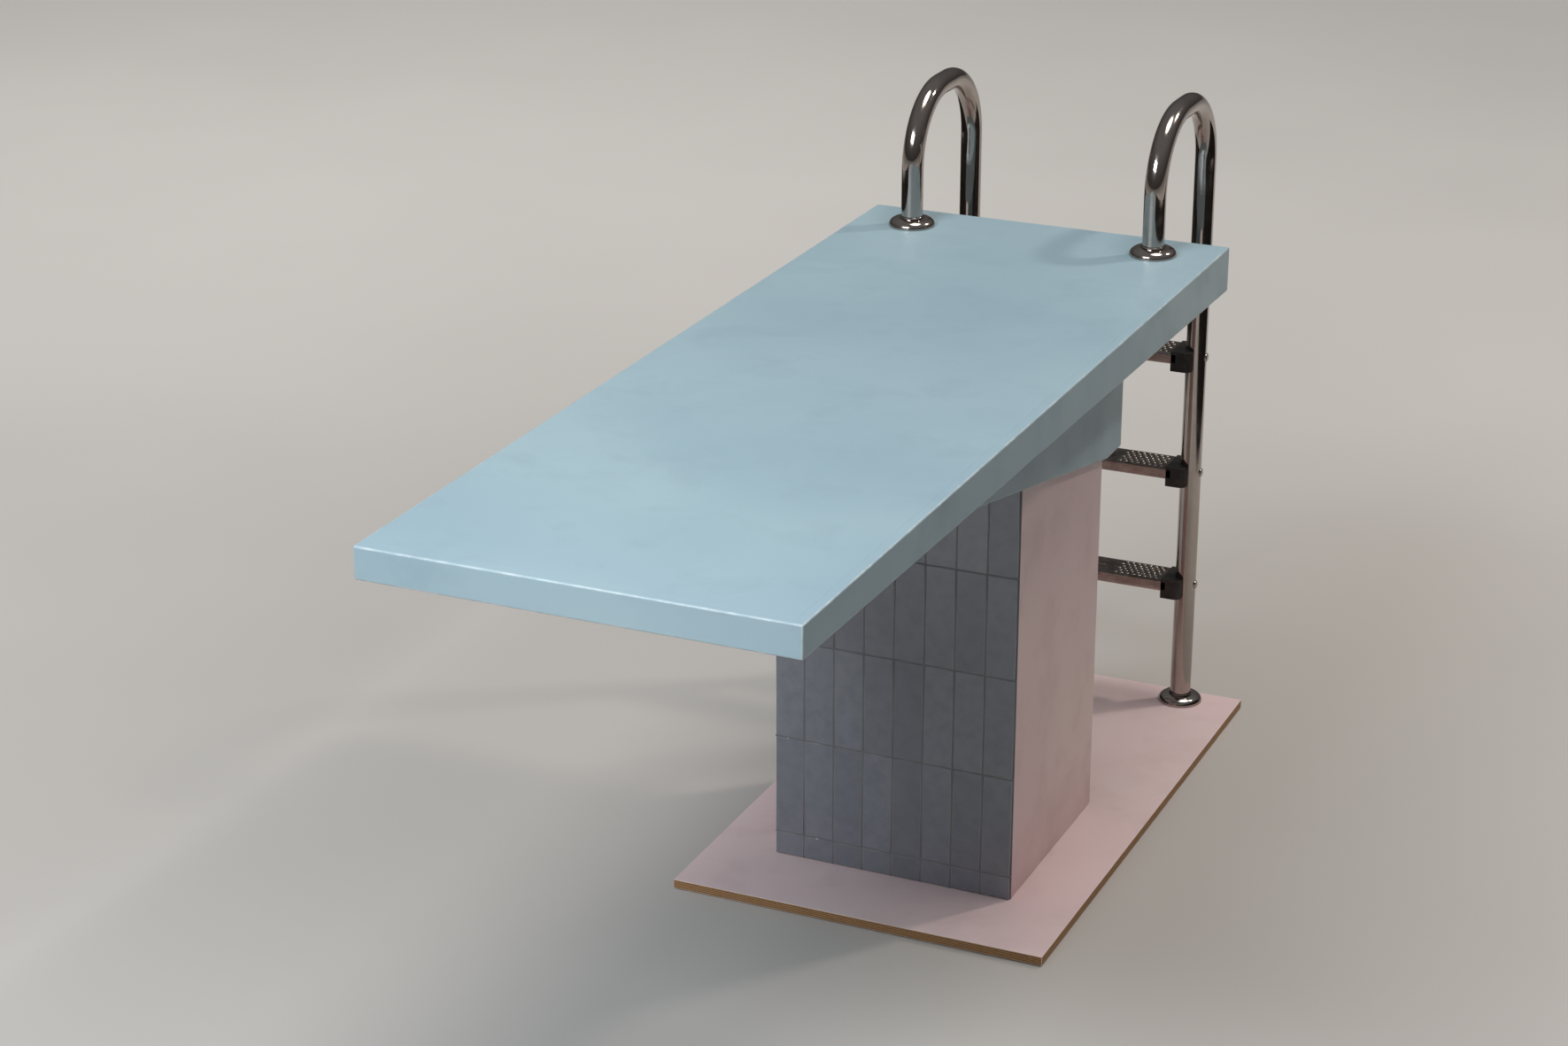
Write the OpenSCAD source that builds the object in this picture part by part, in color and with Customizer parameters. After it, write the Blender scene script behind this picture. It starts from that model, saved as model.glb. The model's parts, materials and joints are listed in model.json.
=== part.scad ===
// Free-standing diving platform for a display pool.
// A hollow plywood board rests on a tapered box beam. A tower with a tiled
// front carries the beam over a flat base, with ballast inside. A tube ladder
// climbs to the rear end of the board.
// Origin: on the floor, in the middle of the footprint. +Z is up, the board's
// tip points to -Y and the ladder stands at +Y. Millimetres.

/* [Overall] */
// Length from the board's tip to the rear edge of the base
overall_l = 2300; // [2280:10:2400]
// Width of the board and of the base
overall_w = 740; // [700:10:800]
// Height of the board's top above the floor
board_top = 1090; // [1080:5:1150]

/* [Board] */
// Length of the board
board_l = 2040; // [2030:10:2100]
// Thickness of the board at its tip
tip_t = 55; // [50:1:65]
// Thickness of the board at its rear end
rear_t = 88; // [84:1:100]
// Thickness of the edge boards and fascias
edge_t = 18; // [15:1:22]
// Thickness of the deck panel
deck_t = 12; // [9:1:15]
// Thickness of the panel under the board
under_t = 9; // [6:1:12]

/* [Beam] */
// Outside width of the tapered beam
beam_w = 500; // [490:5:510]
// Height of the beam's lowest face above the floor
beam_z = 750; // [740:5:760]
// Rise of the beam's underside for each millimetre towards the tip
beam_slope = 0.208; // [0.2:0.002:0.212]
// Distance from the board's rear end to the beam's rear face
beam_setback = 260; // [250:5:280]
// Length of the beam from its rear face to its nose
beam_l = 1330; // [1300:5:1335]

/* [Tower] */
// Width of the tower
tower_w = 480; // [470:2:484]
// Depth of the tower, tiles included
tower_d = 450; // [440:2:460]
// Distance from the board's rear end to the tower's rear face
tower_setback = 340; // [335:5:345]
// Thickness of the tower's panels
panel_t = 12; // [9:1:15]
// Side of the square frame timbers
timber = 45; // [38:1:45]

/* [Tiles] */
// Columns of tiles across the front
tile_columns = 8; // [6:1:10]
// Height of one tile and its joint
tile_pitch = 200; // [190:5:210]
// Height of the cut course at the bottom
first_course = 48; // [40:1:60]
// Width of a joint
joint_w = 2.5; // [2:0.5:4]

/* [Base] */
// Length of the base
base_l = 1230; // [1200:10:1260]
// Thickness of the base panel
base_t = 18; // [15:1:21]
// Thickness of the pads under the base
pad_t = 2; // [2:1:4]

/* [Ladder] */
// Distance between the centres of the two rails
rail_gap = 500; // [490:5:510]
// Outside diameter of the rail tube
tube_d = 43; // [42:0.5:44]
// Wall of the rail tube
tube_wall = 1.5; // [1.2:0.1:2]
// Distance between a rail's front and rear legs
leg_gap = 320; // [310:5:330]
// Distance from the board's rear end to the front legs
leg_setback = 110; // [105:5:115]
// Height of the rail's centre line above the board, at the crown
crown_h = 253; // [245:1:260]
// Bend radius of the rail's centre line
bend_r = 140; // [120:5:150]
// Height of the lowest tread above the base
first_tread = 280; // [260:5:290]
// Height from one tread to the next
tread_step = 250; // [240:5:255]
// Depth of a tread
tread_d = 80; // [70:2:84]

/* [Hidden] */
$fn = 64;

blue_paint = [0.60, 0.73, 0.79];
pink_paint = [0.76, 0.65, 0.66];
tile_glaze = [0.42, 0.45, 0.50];
grout_grey = [0.30, 0.31, 0.34];
softwood = [0.80, 0.66, 0.46];
zinc_steel = [0.62, 0.63, 0.64];
stainless = [0.72, 0.71, 0.70];
black_plastic = [0.09, 0.08, 0.08];
black_rubber = [0.12, 0.12, 0.12];
concrete = [0.58, 0.57, 0.55];

// Places along Y, from the tip at the front to the ladder at the rear
tip_y = -overall_l / 2;
rear_y = tip_y + board_l;
base_rear = overall_l / 2;
base_front = base_rear - base_l;
tower_rear = rear_y - tower_setback;
tower_front = tower_rear - tower_d;
beam_rear = rear_y - beam_setback;
beam_nose = beam_rear - beam_l;
front_leg_y = rear_y - leg_setback;
rear_leg_y = front_leg_y + leg_gap;

// Heights
base_top = pad_t + base_t;
crown_z = board_top + crown_h;
tread_tops = [for (i = [0:2]) base_top + first_tread + i * tread_step];

half_w = overall_w / 2;
rail_x = rail_gap / 2;
tube_r = tube_d / 2;

// Tower build-up at the front: tile, then grout bed, then panel
tile_t = 5;
bed_t = 3;
joint_depth = 1.2;
panel_front = tower_front + tile_t + bed_t;
post_front = panel_front + panel_t;
post_rear = tower_rear - panel_t;
post_x = tower_w / 2 - panel_t;
mid_rail_z = 560;

cheek_t = 18;
beam_floor_t = 12;
rib_t = 18;
rib_places = [-450, -150, 150, 450];
bracket_places = [-300, 0, 300, 540];
beam_bolt_places = [230, 400];
soffit_tilt = atan(beam_slope);
glue_line = 0.05;

joist_t = 27;
joist_places = [-200, 0, 200];
noggin_places = [-800, -400, 0, 400, 700, 850];
angle_leg = 50;
angle_t = 5;
angle_l = 60;

pad_r = 30;
block_size = [350, 150, 99.5];
block_layers = 5;
block_pitch = 100;

// Anchors and their covers
flange_r = 38;
flange_t = 4;
socket_r = tube_r + 2.8;
socket_bore = tube_r + 0.3;
socket_depth = 58;
collar_h = 13;
screw_ring = 31;
cover_r = 46;
cover_h = 20;
cover_lip = 2;
cover_wall = 1.5;
running_gap = 0.08;
neck_r = tube_r + 3;

// Treads
tread_l = 436;
tread_h = 24;
sheet_t = 2;
clamp_h = 42;
clamp_up = 3;
clamp_corner = 14;
bolt_drop = 13;
bolt_r = 4;
bolt_head_h = 2.2;
cap_r = 8.5;
cap_rim = 1.4;
cap_flat = 4;
cap_h = 3.4;

// Height of the board's underside at a place along Y
function under_z(y) = board_top - tip_t - (rear_t - tip_t) * (y - tip_y) / board_l;

// Height of the beam's underside at a place along Y
function beam_under_z(y) = beam_z + beam_slope * max(0, tower_rear - y);

// A plate parallel to the YZ plane: its outline is a list of [y, z] points
module side_plate(x, thickness, outline) {
    translate([x, 0, 0]) rotate([90, 0, 90])
        linear_extrude(height = thickness) polygon(outline);
}

// A timber between two places along Y, with its top under the beam
module post_outline(x, width, y0, y1, bottom) {
    side_plate(x, width, [
        [y0, bottom], [y1, bottom], [y1, beam_under_z(y1)], [y0, beam_under_z(y0)]
    ]);
}

// A countersunk wood screw: its head is flush with z = 0 and it points down
module wood_screw(shank_r, head_r, screw_l) {
    cone_h = head_r - shank_r;
    translate([0, 0, -screw_l]) cylinder(r = shank_r, h = screw_l - cone_h, $fn = 24);
    translate([0, 0, -cone_h]) cylinder(r1 = shank_r, r2 = head_r, h = cone_h, $fn = 24);
}

// A hexagon-head bolt: its head stands above z = 0 and its shank points down
module hex_bolt(shank_r, bolt_l) {
    translate([0, 0, -bolt_l]) cylinder(r = shank_r, h = bolt_l, $fn = 32);
    cylinder(r = shank_r * 1.9, h = shank_r * 1.3, $fn = 6);
}

/* ---- Base ---- */

module base_pads() {
    color(black_rubber)
        for (x = [-1, 0, 1], y = [base_front + 60, (base_front + base_rear) / 2, base_rear - 60])
            translate([x * (half_w - 60), y, 0]) cylinder(r = pad_r, h = pad_t);
}

module base_screw_places() {
    for (x = [-1, 1], y = [post_front + timber / 2, post_rear - timber / 2], inset = [0, 120])
        translate([x * (post_x - timber / 2 - inset), y, pad_t]) children();
}

module base_panel() {
    color(pink_paint) difference() {
        translate([-half_w, base_front, pad_t]) cube([overall_w, base_l, base_t]);
        base_screw_places() mirror([0, 0, 1]) wood_screw(3, 6, 55);
        base_leg_places() anchor_screw_ring(flange_t) wood_screw(2, 4, 15);
    }
}

module base_screws() {
    color(zinc_steel) base_screw_places() mirror([0, 0, 1]) wood_screw(3, 6, 55);
}

/* ---- Tower ---- */

module tower_posts() {
    color(softwood) difference() {
        for (x = [-post_x, post_x - timber], y = [post_front, post_rear - timber])
            post_outline(x, timber, y, y + timber, base_top);
        base_screw_places() mirror([0, 0, 1]) wood_screw(3, 6, 55);
        rear_screw_places() wood_screw(2.5, 5, 40);
    }
}

// Four timbers between the posts, at one height
module timber_ring(z) {
    cross_l = 2 * (post_x - timber);
    for (y = [post_front, post_rear - timber])
        translate([-cross_l / 2, y, z]) cube([cross_l, timber, timber]);
    for (x = [-post_x, post_x - timber])
        translate([x, post_front + timber, z])
            cube([timber, post_rear - post_front - 2 * timber, timber]);
}

module tower_bottom_rails() {
    color(softwood) difference() {
        timber_ring(base_top);
        base_screw_places() mirror([0, 0, 1]) wood_screw(3, 6, 55);
    }
}

module tower_mid_rails() {
    color(softwood) timber_ring(mid_rail_z);
}

// The beam's bolts stand square to its sloping underside
module beam_bolt_places() {
    for (x = [-1, 1], y = beam_bolt_places)
        translate([x * (post_x - timber / 2), y, beam_under_z(y)])
            rotate([-soffit_tilt, 0, 0]) children();
}

module tower_head_rails() {
    cross_l = 2 * (post_x - timber);
    color(softwood) difference() {
        union() {
            for (x = [-post_x, post_x - timber]) side_plate(x, timber, [
                [post_front + timber, beam_under_z(post_front + timber) - timber],
                [post_rear - timber, beam_under_z(post_rear - timber) - timber],
                [post_rear - timber, beam_under_z(post_rear - timber)],
                [post_front + timber, beam_under_z(post_front + timber)]
            ]);
            for (y = [post_front, post_rear - timber])
                post_outline(-cross_l / 2, cross_l, y, y + timber, beam_under_z(y) - 2 * timber);
        }
        beam_bolt_places() translate([0, 0, -80]) cylinder(r = 6.5, h = 100, $fn = 32);
    }
}

module tower_front_panel() {
    color(pink_paint) post_outline(-post_x, 2 * post_x, panel_front, post_front, base_top);
}

module rear_screw_places() {
    for (x = [-1, 1], z = [70, 280, 490, 700])
        translate([x * (post_x - timber / 2), tower_rear, z]) rotate([-90, 0, 0]) children();
}

module tower_rear_panel() {
    color(pink_paint) difference() {
        post_outline(-post_x, 2 * post_x, post_rear, tower_rear, base_top);
        rear_screw_places() wood_screw(2.5, 5, 40);
    }
}

module rear_panel_screws() {
    color(zinc_steel) rear_screw_places() wood_screw(2.5, 5, 40);
}

module tower_left_panel() {
    color(pink_paint) post_outline(-tower_w / 2, panel_t, panel_front, tower_rear, base_top);
}

module tower_right_panel() {
    color(pink_paint) post_outline(post_x, panel_t, panel_front, tower_rear, base_top);
}

// Joint heights above the base, from the floor up, with the cut top edge last
tiled_h = beam_under_z(panel_front) - base_top;
courses = ceil((tiled_h - first_course) / tile_pitch);
course_edges = concat(
    [0], [for (i = [0:courses - 1]) first_course + i * tile_pitch], [tiled_h]
);

module front_tiles() {
    column_w = tower_w / tile_columns;
    color(tile_glaze)
        for (column = [0:tile_columns - 1], course = [0:courses])
            translate([
                -tower_w / 2 + column * column_w + joint_w / 2,
                tower_front,
                base_top + course_edges[course] + joint_w / 2
            ])
                cube([
                    column_w - joint_w,
                    tile_t,
                    course_edges[course + 1] - course_edges[course] - joint_w
                ]);
}

module tile_grout() {
    column_w = tower_w / tile_columns;
    grout_y = tower_front + joint_depth;
    grout_d = tile_t - joint_depth;
    color(grout_grey) union() {
        translate([-tower_w / 2, tower_front + tile_t, base_top])
            cube([tower_w, bed_t, tiled_h]);
        for (column = [1:tile_columns - 1])
            translate([-tower_w / 2 + column * column_w - joint_w / 2, grout_y, base_top])
                cube([joint_w, grout_d, tiled_h]);
        for (course = [1:courses])
            translate([-tower_w / 2, grout_y, base_top + course_edges[course] - joint_w / 2])
                cube([tower_w, grout_d, joint_w]);
    }
}

module ballast_blocks() {
    middle = (post_front + post_rear) / 2;
    color(concrete)
        for (side = [-1, 1], layer = [0:block_layers - 1])
            translate([
                -block_size[0] / 2,
                middle + side * (block_size[1] / 2 + 2) - block_size[1] / 2,
                base_top + layer * block_pitch
            ])
                cube(block_size);
}

/* ---- Beam ---- */

// The beam's side outline from a height above its underside up to the board
module beam_side(x, thickness, y0, y1, lift) {
    side_plate(x, thickness, [
        [y0, beam_under_z(y0) + lift],
        if (y0 < tower_rear && y1 > tower_rear) [tower_rear, beam_z + lift],
        [y1, beam_under_z(y1) + lift],
        [y1, under_z(y1) - glue_line],
        [y0, under_z(y0) - glue_line]
    ]);
}

module beam_left_cheek() {
    color(blue_paint) beam_side(-beam_w / 2, cheek_t, beam_nose, beam_rear, 0);
}

module beam_right_cheek() {
    color(blue_paint) beam_side(beam_w / 2 - cheek_t, cheek_t, beam_nose, beam_rear, 0);
}

module beam_soffit() {
    inner_w = beam_w - 2 * cheek_t;
    color(blue_paint) difference() {
        side_plate(-inner_w / 2, inner_w, [
            [beam_nose, beam_under_z(beam_nose)],
            [tower_rear, beam_z],
            [beam_rear, beam_z],
            [beam_rear, beam_z + beam_floor_t],
            [tower_rear, beam_z + beam_floor_t],
            [beam_nose, beam_under_z(beam_nose) + beam_floor_t]
        ]);
        beam_bolt_places() translate([0, 0, -20]) cylinder(r = 6.5, h = 60, $fn = 32);
    }
}

module beam_rear_panel() {
    color(blue_paint)
        beam_side(-beam_w / 2 + cheek_t, beam_w - 2 * cheek_t,
            beam_rear - beam_floor_t, beam_rear, beam_floor_t);
}

module beam_ribs() {
    color(softwood)
        for (y = rib_places)
            beam_side(-beam_w / 2 + cheek_t, beam_w - 2 * cheek_t,
                y - rib_t / 2, y + rib_t / 2, beam_floor_t);
}

module beam_nose_block() {
    color(softwood)
        beam_side(-beam_w / 2 + cheek_t, beam_w - 2 * cheek_t,
            beam_nose, beam_nose + 60, beam_floor_t);
}

module beam_bolts() {
    color(zinc_steel) beam_bolt_places()
        translate([0, 0, beam_floor_t * cos(soffit_tilt) + 2.5]) union() {
            hex_bolt(6, 80);
            translate([0, 0, -2.5]) cylinder(r = 12, h = 2.5, $fn = 48);
        }
}

module beam_nuts() {
    color(zinc_steel) beam_bolt_places()
        translate([0, 0, -timber * cos(soffit_tilt) - 2.5]) difference() {
            union() {
                cylinder(r = 12, h = 2.5, $fn = 48);
                translate([0, 0, -10]) cylinder(r = 11, h = 10, $fn = 6);
            }
            translate([0, 0, -11]) cylinder(r = 6.05, h = 15, $fn = 32);
        }
}

/* ---- Board ---- */

inner_half = half_w - edge_t;
inner_tip = tip_y + edge_t;
inner_rear = rear_y - edge_t;

module deck_leg_places() {
    for (x = [-rail_x, rail_x]) translate([x, front_leg_y, board_top]) children();
}

module board_deck() {
    color(blue_paint) difference() {
        translate([-inner_half, inner_tip, board_top - deck_t])
            cube([2 * inner_half, inner_rear - inner_tip, deck_t]);
        deck_leg_places() translate([0, 0, -deck_t - 1])
            cylinder(r = socket_r + 0.3, h = deck_t + 2);
        deck_leg_places() anchor_screw_ring(flange_t) wood_screw(2, 4, 15);
    }
}

module board_soffit() {
    color(blue_paint) difference() {
        side_plate(-inner_half, 2 * inner_half, [
            [inner_tip, under_z(inner_tip)],
            [inner_rear, under_z(inner_rear)],
            [inner_rear, under_z(inner_rear) + under_t],
            [inner_tip, under_z(inner_tip) + under_t]
        ]);
        board_bolt_places() cylinder(r = bolt_r + 0.2, h = 80, center = true, $fn = 32);
    }
}

// The edge boards run between the two fascias
module board_edge(x) {
    side_plate(x, edge_t, [
        [inner_tip, under_z(inner_tip)],
        [inner_rear, under_z(inner_rear)],
        [inner_rear, board_top],
        [inner_tip, board_top]
    ]);
}

module board_left_edge() {
    color(blue_paint) board_edge(-half_w);
}

module board_right_edge() {
    color(blue_paint) board_edge(inner_half);
}

module board_tip_fascia() {
    color(blue_paint) side_plate(-half_w, overall_w, [
        [tip_y, under_z(tip_y)], [inner_tip, under_z(inner_tip)],
        [inner_tip, board_top], [tip_y, board_top]
    ]);
}

module board_rear_fascia() {
    color(blue_paint) side_plate(-half_w, overall_w, [
        [inner_rear, under_z(inner_rear)], [rear_y, under_z(rear_y)],
        [rear_y, board_top], [inner_rear, board_top]
    ]);
}

// A timber inside the board, between the soffit and the deck
module board_rib(x, width, y0, y1) {
    side_plate(x, width, [
        [y0, under_z(y0) + under_t + glue_line], [y1, under_z(y1) + under_t + glue_line],
        [y1, board_top - deck_t], [y0, board_top - deck_t]
    ]);
}

module board_joists() {
    color(softwood) difference() {
        for (x = joist_places) board_rib(x - joist_t / 2, joist_t, inner_tip, inner_rear);
        board_bolt_places() translate([0, 0, -1]) cylinder(r = bolt_r, h = 42, $fn = 32);
    }
}

module board_noggins() {
    bays = [
        [-inner_half, joist_places[0] - joist_t / 2],
        [joist_places[0] + joist_t / 2, joist_places[1] - joist_t / 2],
        [joist_places[1] + joist_t / 2, joist_places[2] - joist_t / 2],
        [joist_places[2] + joist_t / 2, inner_half]
    ];
    color(softwood)
        for (y = noggin_places, bay = bays)
            board_rib(bay[0], bay[1] - bay[0], y - joist_t / 2, y + joist_t / 2);
}

// The board's underside slopes a little, and its brackets follow it
board_tilt = -atan((rear_t - tip_t) / board_l);

module bracket_places() {
    for (side = [0, 1], y = bracket_places) mirror([side, 0, 0])
        translate([beam_w / 2 - cheek_t, y, under_z(y) - glue_line])
            rotate([board_tilt, 0, 0]) children();
}

// Bolts up into the joists, from the bracket's underside
module board_bolt_places() {
    bracket_places() translate([joist_places[2] - beam_w / 2 + cheek_t, 0, 0]) children();
}

// Screws out into the beam's cheeks
module cheek_screw_places() {
    bracket_places() for (y = [-18, 18]) translate([-angle_t, y, -32]) rotate([0, -90, 0]) children();
}

module board_brackets() {
    color(zinc_steel) difference() {
        bracket_places() union() {
            translate([-angle_t, -angle_l / 2, -angle_leg]) cube([angle_t, angle_l, angle_leg]);
            translate([-angle_leg, -angle_l / 2, -angle_t]) cube([angle_leg, angle_l, angle_t]);
        }
        board_bolt_places() cylinder(r = bolt_r + 0.2, h = 30, center = true, $fn = 32);
        cheek_screw_places() cylinder(r = 3.2, h = 30, center = true, $fn = 32);
    }
}

module board_bolts() {
    color(zinc_steel) {
        board_bolt_places() translate([0, 0, -angle_t]) mirror([0, 0, 1]) hex_bolt(bolt_r, 44);
        cheek_screw_places() cylinder(r = 5.5, h = 4, $fn = 6);
    }
}

/* ---- Ladder ---- */

// The rail's run as a solid bar of one radius: up the front leg, over the
// crown and down the rear leg
module rail_run(r, overshoot) {
    bend_z = crown_z - bend_r;
    front_foot = board_top - socket_depth + 4 - overshoot;
    translate([0, front_leg_y, front_foot]) cylinder(r = r, h = bend_z - front_foot);
    translate([0, rear_leg_y, base_top - overshoot]) cylinder(r = r, h = bend_z - base_top + overshoot);
    translate([0, rear_leg_y - bend_r, bend_z]) rotate([90, 0, 90])
        rotate_extrude(angle = 90) translate([bend_r, 0]) circle(r);
    translate([0, front_leg_y + bend_r, bend_z]) mirror([0, 1, 0]) rotate([90, 0, 90])
        rotate_extrude(angle = 90) translate([bend_r, 0]) circle(r);
    translate([0, front_leg_y + bend_r, crown_z]) rotate([-90, 0, 0])
        cylinder(r = r, h = leg_gap - 2 * bend_r);
}

module rail(x) {
    color(stainless) translate([x, 0, 0]) difference() {
        rail_run(tube_r, 0);
        rail_run(tube_r - tube_wall, 1);
        for (top = tread_tops) translate([0, rear_leg_y, top - bolt_drop])
            rotate([0, 90, 0]) cylinder(r = bolt_r + 0.2, h = 2 * tube_r + 2, center = true, $fn = 32);
    }
}

module rail_left() {
    rail(-rail_x);
}

module rail_right() {
    rail(rail_x);
}

// Three screw places on a flange, which lies this high above the anchor's seat
module anchor_screw_ring(lift) {
    for (turn = [90, 210, 330]) rotate([0, 0, turn]) translate([screw_ring, 0, lift]) children();
}

module base_leg_places() {
    for (x = [-rail_x, rail_x]) translate([x, rear_leg_y, base_top]) children();
}

module deck_anchors() {
    color(zinc_steel) deck_leg_places() difference() {
        union() {
            cylinder(r = flange_r, h = flange_t);
            translate([0, 0, -socket_depth]) cylinder(r = socket_r, h = socket_depth);
        }
        translate([0, 0, 4 - socket_depth]) cylinder(r = socket_bore, h = socket_depth + 5);
        anchor_screw_ring(flange_t) wood_screw(2, 4, 15);
    }
}

module base_anchors() {
    color(zinc_steel) base_leg_places() difference() {
        union() {
            cylinder(r = flange_r, h = flange_t);
            cylinder(r = socket_r, h = collar_h);
        }
        translate([0, 0, -1]) cylinder(r = socket_bore, h = collar_h + 2);
        anchor_screw_ring(flange_t) wood_screw(2, 4, 15);
    }
}

module anchor_screws() {
    color(zinc_steel) {
        deck_leg_places() anchor_screw_ring(flange_t) wood_screw(2, 4, 15);
        base_leg_places() anchor_screw_ring(flange_t) wood_screw(2, 4, 15);
    }
}

// A folded sheet tread: a flat top, two long lips and a drain slot
module tread(top) {
    color(stainless) translate([0, rear_leg_y, top - tread_h]) difference() {
        translate([-tread_l / 2, -tread_d / 2, 0]) cube([tread_l, tread_d, tread_h]);
        translate([-tread_l / 2 - 1, sheet_t - tread_d / 2, -sheet_t])
            cube([tread_l + 2, tread_d - 2 * sheet_t, tread_h]);
        translate([-tread_l / 6, -3, 0]) cube([tread_l / 3, 6, tread_h + 1]);
    }
}

module tread_lower() {
    tread(tread_tops[0]);
}

module tread_middle() {
    tread(tread_tops[1]);
}

module tread_upper() {
    tread(tread_tops[2]);
}

// Both end clamps of one tread: each fills the space from the tread's end to
// the rail, and wraps the inner half of the tube
module tread_ends(top) {
    reach = rail_x - tread_l / 2;
    color(black_plastic) translate([0, rear_leg_y, top + clamp_up - clamp_h])
        for (side = [0, 1]) mirror([side, 0, 0]) difference() {
            linear_extrude(height = clamp_h) difference() {
                translate([tread_l / 2, 0]) union() {
                    translate([0, -tread_d / 2]) square([reach - clamp_corner, tread_d]);
                    translate([0, clamp_corner - tread_d / 2])
                        square([reach, tread_d - 2 * clamp_corner]);
                    for (y = [-1, 1])
                        translate([reach - clamp_corner, y * (tread_d / 2 - clamp_corner)])
                            circle(clamp_corner);
                }
                translate([rail_x, 0]) circle(tube_r + 0.1);
            }
            translate([rail_x, 0, clamp_h - clamp_up - bolt_drop]) rotate([0, -90, 0])
                cylinder(r = bolt_r + 0.1, h = reach - 3, $fn = 32);
        }
}

module tread_lower_ends() {
    tread_ends(tread_tops[0]);
}

module tread_middle_ends() {
    tread_ends(tread_tops[1]);
}

module tread_upper_ends() {
    tread_ends(tread_tops[2]);
}

// Bolt places at the outside of each rail, with +Z pointing out of the rail
module tread_bolt_places() {
    for (side = [0, 1], top = tread_tops) mirror([side, 0, 0])
        translate([rail_x + tube_r, rear_leg_y, top - bolt_drop]) rotate([0, 90, 0]) children();
}

module tread_bolts() {
    color(zinc_steel) tread_bolt_places() {
        translate([0, 0, -49]) cylinder(r = bolt_r, h = 49, $fn = 32);
        cylinder(r = 6.5, h = bolt_head_h, $fn = 6);
    }
}

// Low stainless caps, pressed over the bolts' heads and shaped to the tube
module tread_bolt_caps() {
    color(stainless) difference() {
        tread_bolt_places() difference() {
            rotate_extrude() polygon([
                [0, -3], [cap_r, -3], [cap_r, cap_rim],
                for (a = [15:15:75])
                    [cap_flat + (cap_r - cap_flat) * cos(a), cap_rim + (cap_h - cap_rim) * sin(a)],
                [cap_flat, cap_h], [0, cap_h]
            ]);
            translate([0, 0, -4]) cylinder(r = 7, h = 4 + bolt_head_h + 0.2);
        }
        for (x = [-rail_x, rail_x]) translate([x, rear_leg_y, base_top])
            cylinder(r = tube_r + 0.1, h = crown_z - base_top - bend_r);
    }
}

// A domed cover that slides on a leg: a thin shell with a short neck
module cover() {
    dome_w = cover_r - neck_r;
    dome_h = cover_h - cover_lip - 3;
    color(stainless) rotate_extrude() polygon([
        [cover_r, 0],
        for (a = [0:10:90]) [neck_r + dome_w * cos(a), cover_lip + dome_h * sin(a)],
        [neck_r, cover_h],
        [tube_r + running_gap, cover_h],
        [tube_r + running_gap, cover_h - 5],
        for (a = [90:-10:0]) [neck_r - cover_wall + dome_w * cos(a), (cover_h - 5) * sin(a)]
    ]);
}

module cover_deck_left() {
    translate([-rail_x, front_leg_y, board_top]) cover();
}

module cover_deck_right() {
    translate([rail_x, front_leg_y, board_top]) cover();
}

module cover_base_left() {
    translate([-rail_x, rear_leg_y, base_top]) cover();
}

module cover_base_right() {
    translate([rail_x, rear_leg_y, base_top]) cover();
}

base_pads();
base_panel();
base_screws();
tower_posts();
tower_bottom_rails();
tower_mid_rails();
tower_head_rails();
tower_front_panel();
tower_rear_panel();
tower_left_panel();
tower_right_panel();
rear_panel_screws();
front_tiles();
tile_grout();
ballast_blocks();
beam_left_cheek();
beam_right_cheek();
beam_soffit();
beam_rear_panel();
beam_ribs();
beam_nose_block();
beam_bolts();
beam_nuts();
board_deck();
board_soffit();
board_left_edge();
board_right_edge();
board_tip_fascia();
board_rear_fascia();
board_joists();
board_noggins();
board_brackets();
board_bolts();
rail_left();
rail_right();
deck_anchors();
base_anchors();
anchor_screws();
tread_lower();
tread_middle();
tread_upper();
tread_lower_ends();
tread_middle_ends();
tread_upper_ends();
tread_bolts();
tread_bolt_caps();
cover_deck_left();
cover_deck_right();
cover_base_left();
cover_base_right();
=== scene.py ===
import json
import math
import bmesh
import bpy
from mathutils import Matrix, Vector


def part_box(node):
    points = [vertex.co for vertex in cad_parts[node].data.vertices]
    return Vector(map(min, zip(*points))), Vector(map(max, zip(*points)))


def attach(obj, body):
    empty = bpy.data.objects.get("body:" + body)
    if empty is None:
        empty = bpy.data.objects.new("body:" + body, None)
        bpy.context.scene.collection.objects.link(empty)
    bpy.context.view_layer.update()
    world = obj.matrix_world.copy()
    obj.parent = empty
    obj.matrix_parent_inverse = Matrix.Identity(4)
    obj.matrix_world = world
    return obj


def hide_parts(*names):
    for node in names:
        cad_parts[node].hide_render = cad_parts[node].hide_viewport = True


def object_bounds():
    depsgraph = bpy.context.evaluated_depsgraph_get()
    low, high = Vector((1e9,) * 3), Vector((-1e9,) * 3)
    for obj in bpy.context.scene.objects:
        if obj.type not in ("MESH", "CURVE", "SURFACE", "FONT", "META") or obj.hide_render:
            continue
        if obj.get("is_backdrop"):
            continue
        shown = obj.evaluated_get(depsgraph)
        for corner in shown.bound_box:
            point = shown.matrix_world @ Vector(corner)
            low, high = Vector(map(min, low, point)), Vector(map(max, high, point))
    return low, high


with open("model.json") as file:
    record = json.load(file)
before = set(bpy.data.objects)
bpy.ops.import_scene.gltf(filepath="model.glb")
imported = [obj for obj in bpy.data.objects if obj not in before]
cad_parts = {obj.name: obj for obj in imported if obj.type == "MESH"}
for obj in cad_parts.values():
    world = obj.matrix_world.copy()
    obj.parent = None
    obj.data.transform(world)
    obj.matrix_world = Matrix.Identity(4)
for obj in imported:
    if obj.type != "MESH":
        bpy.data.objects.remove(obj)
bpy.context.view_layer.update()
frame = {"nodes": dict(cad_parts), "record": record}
nodes = frame["nodes"]
scene = bpy.context.scene


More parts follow.
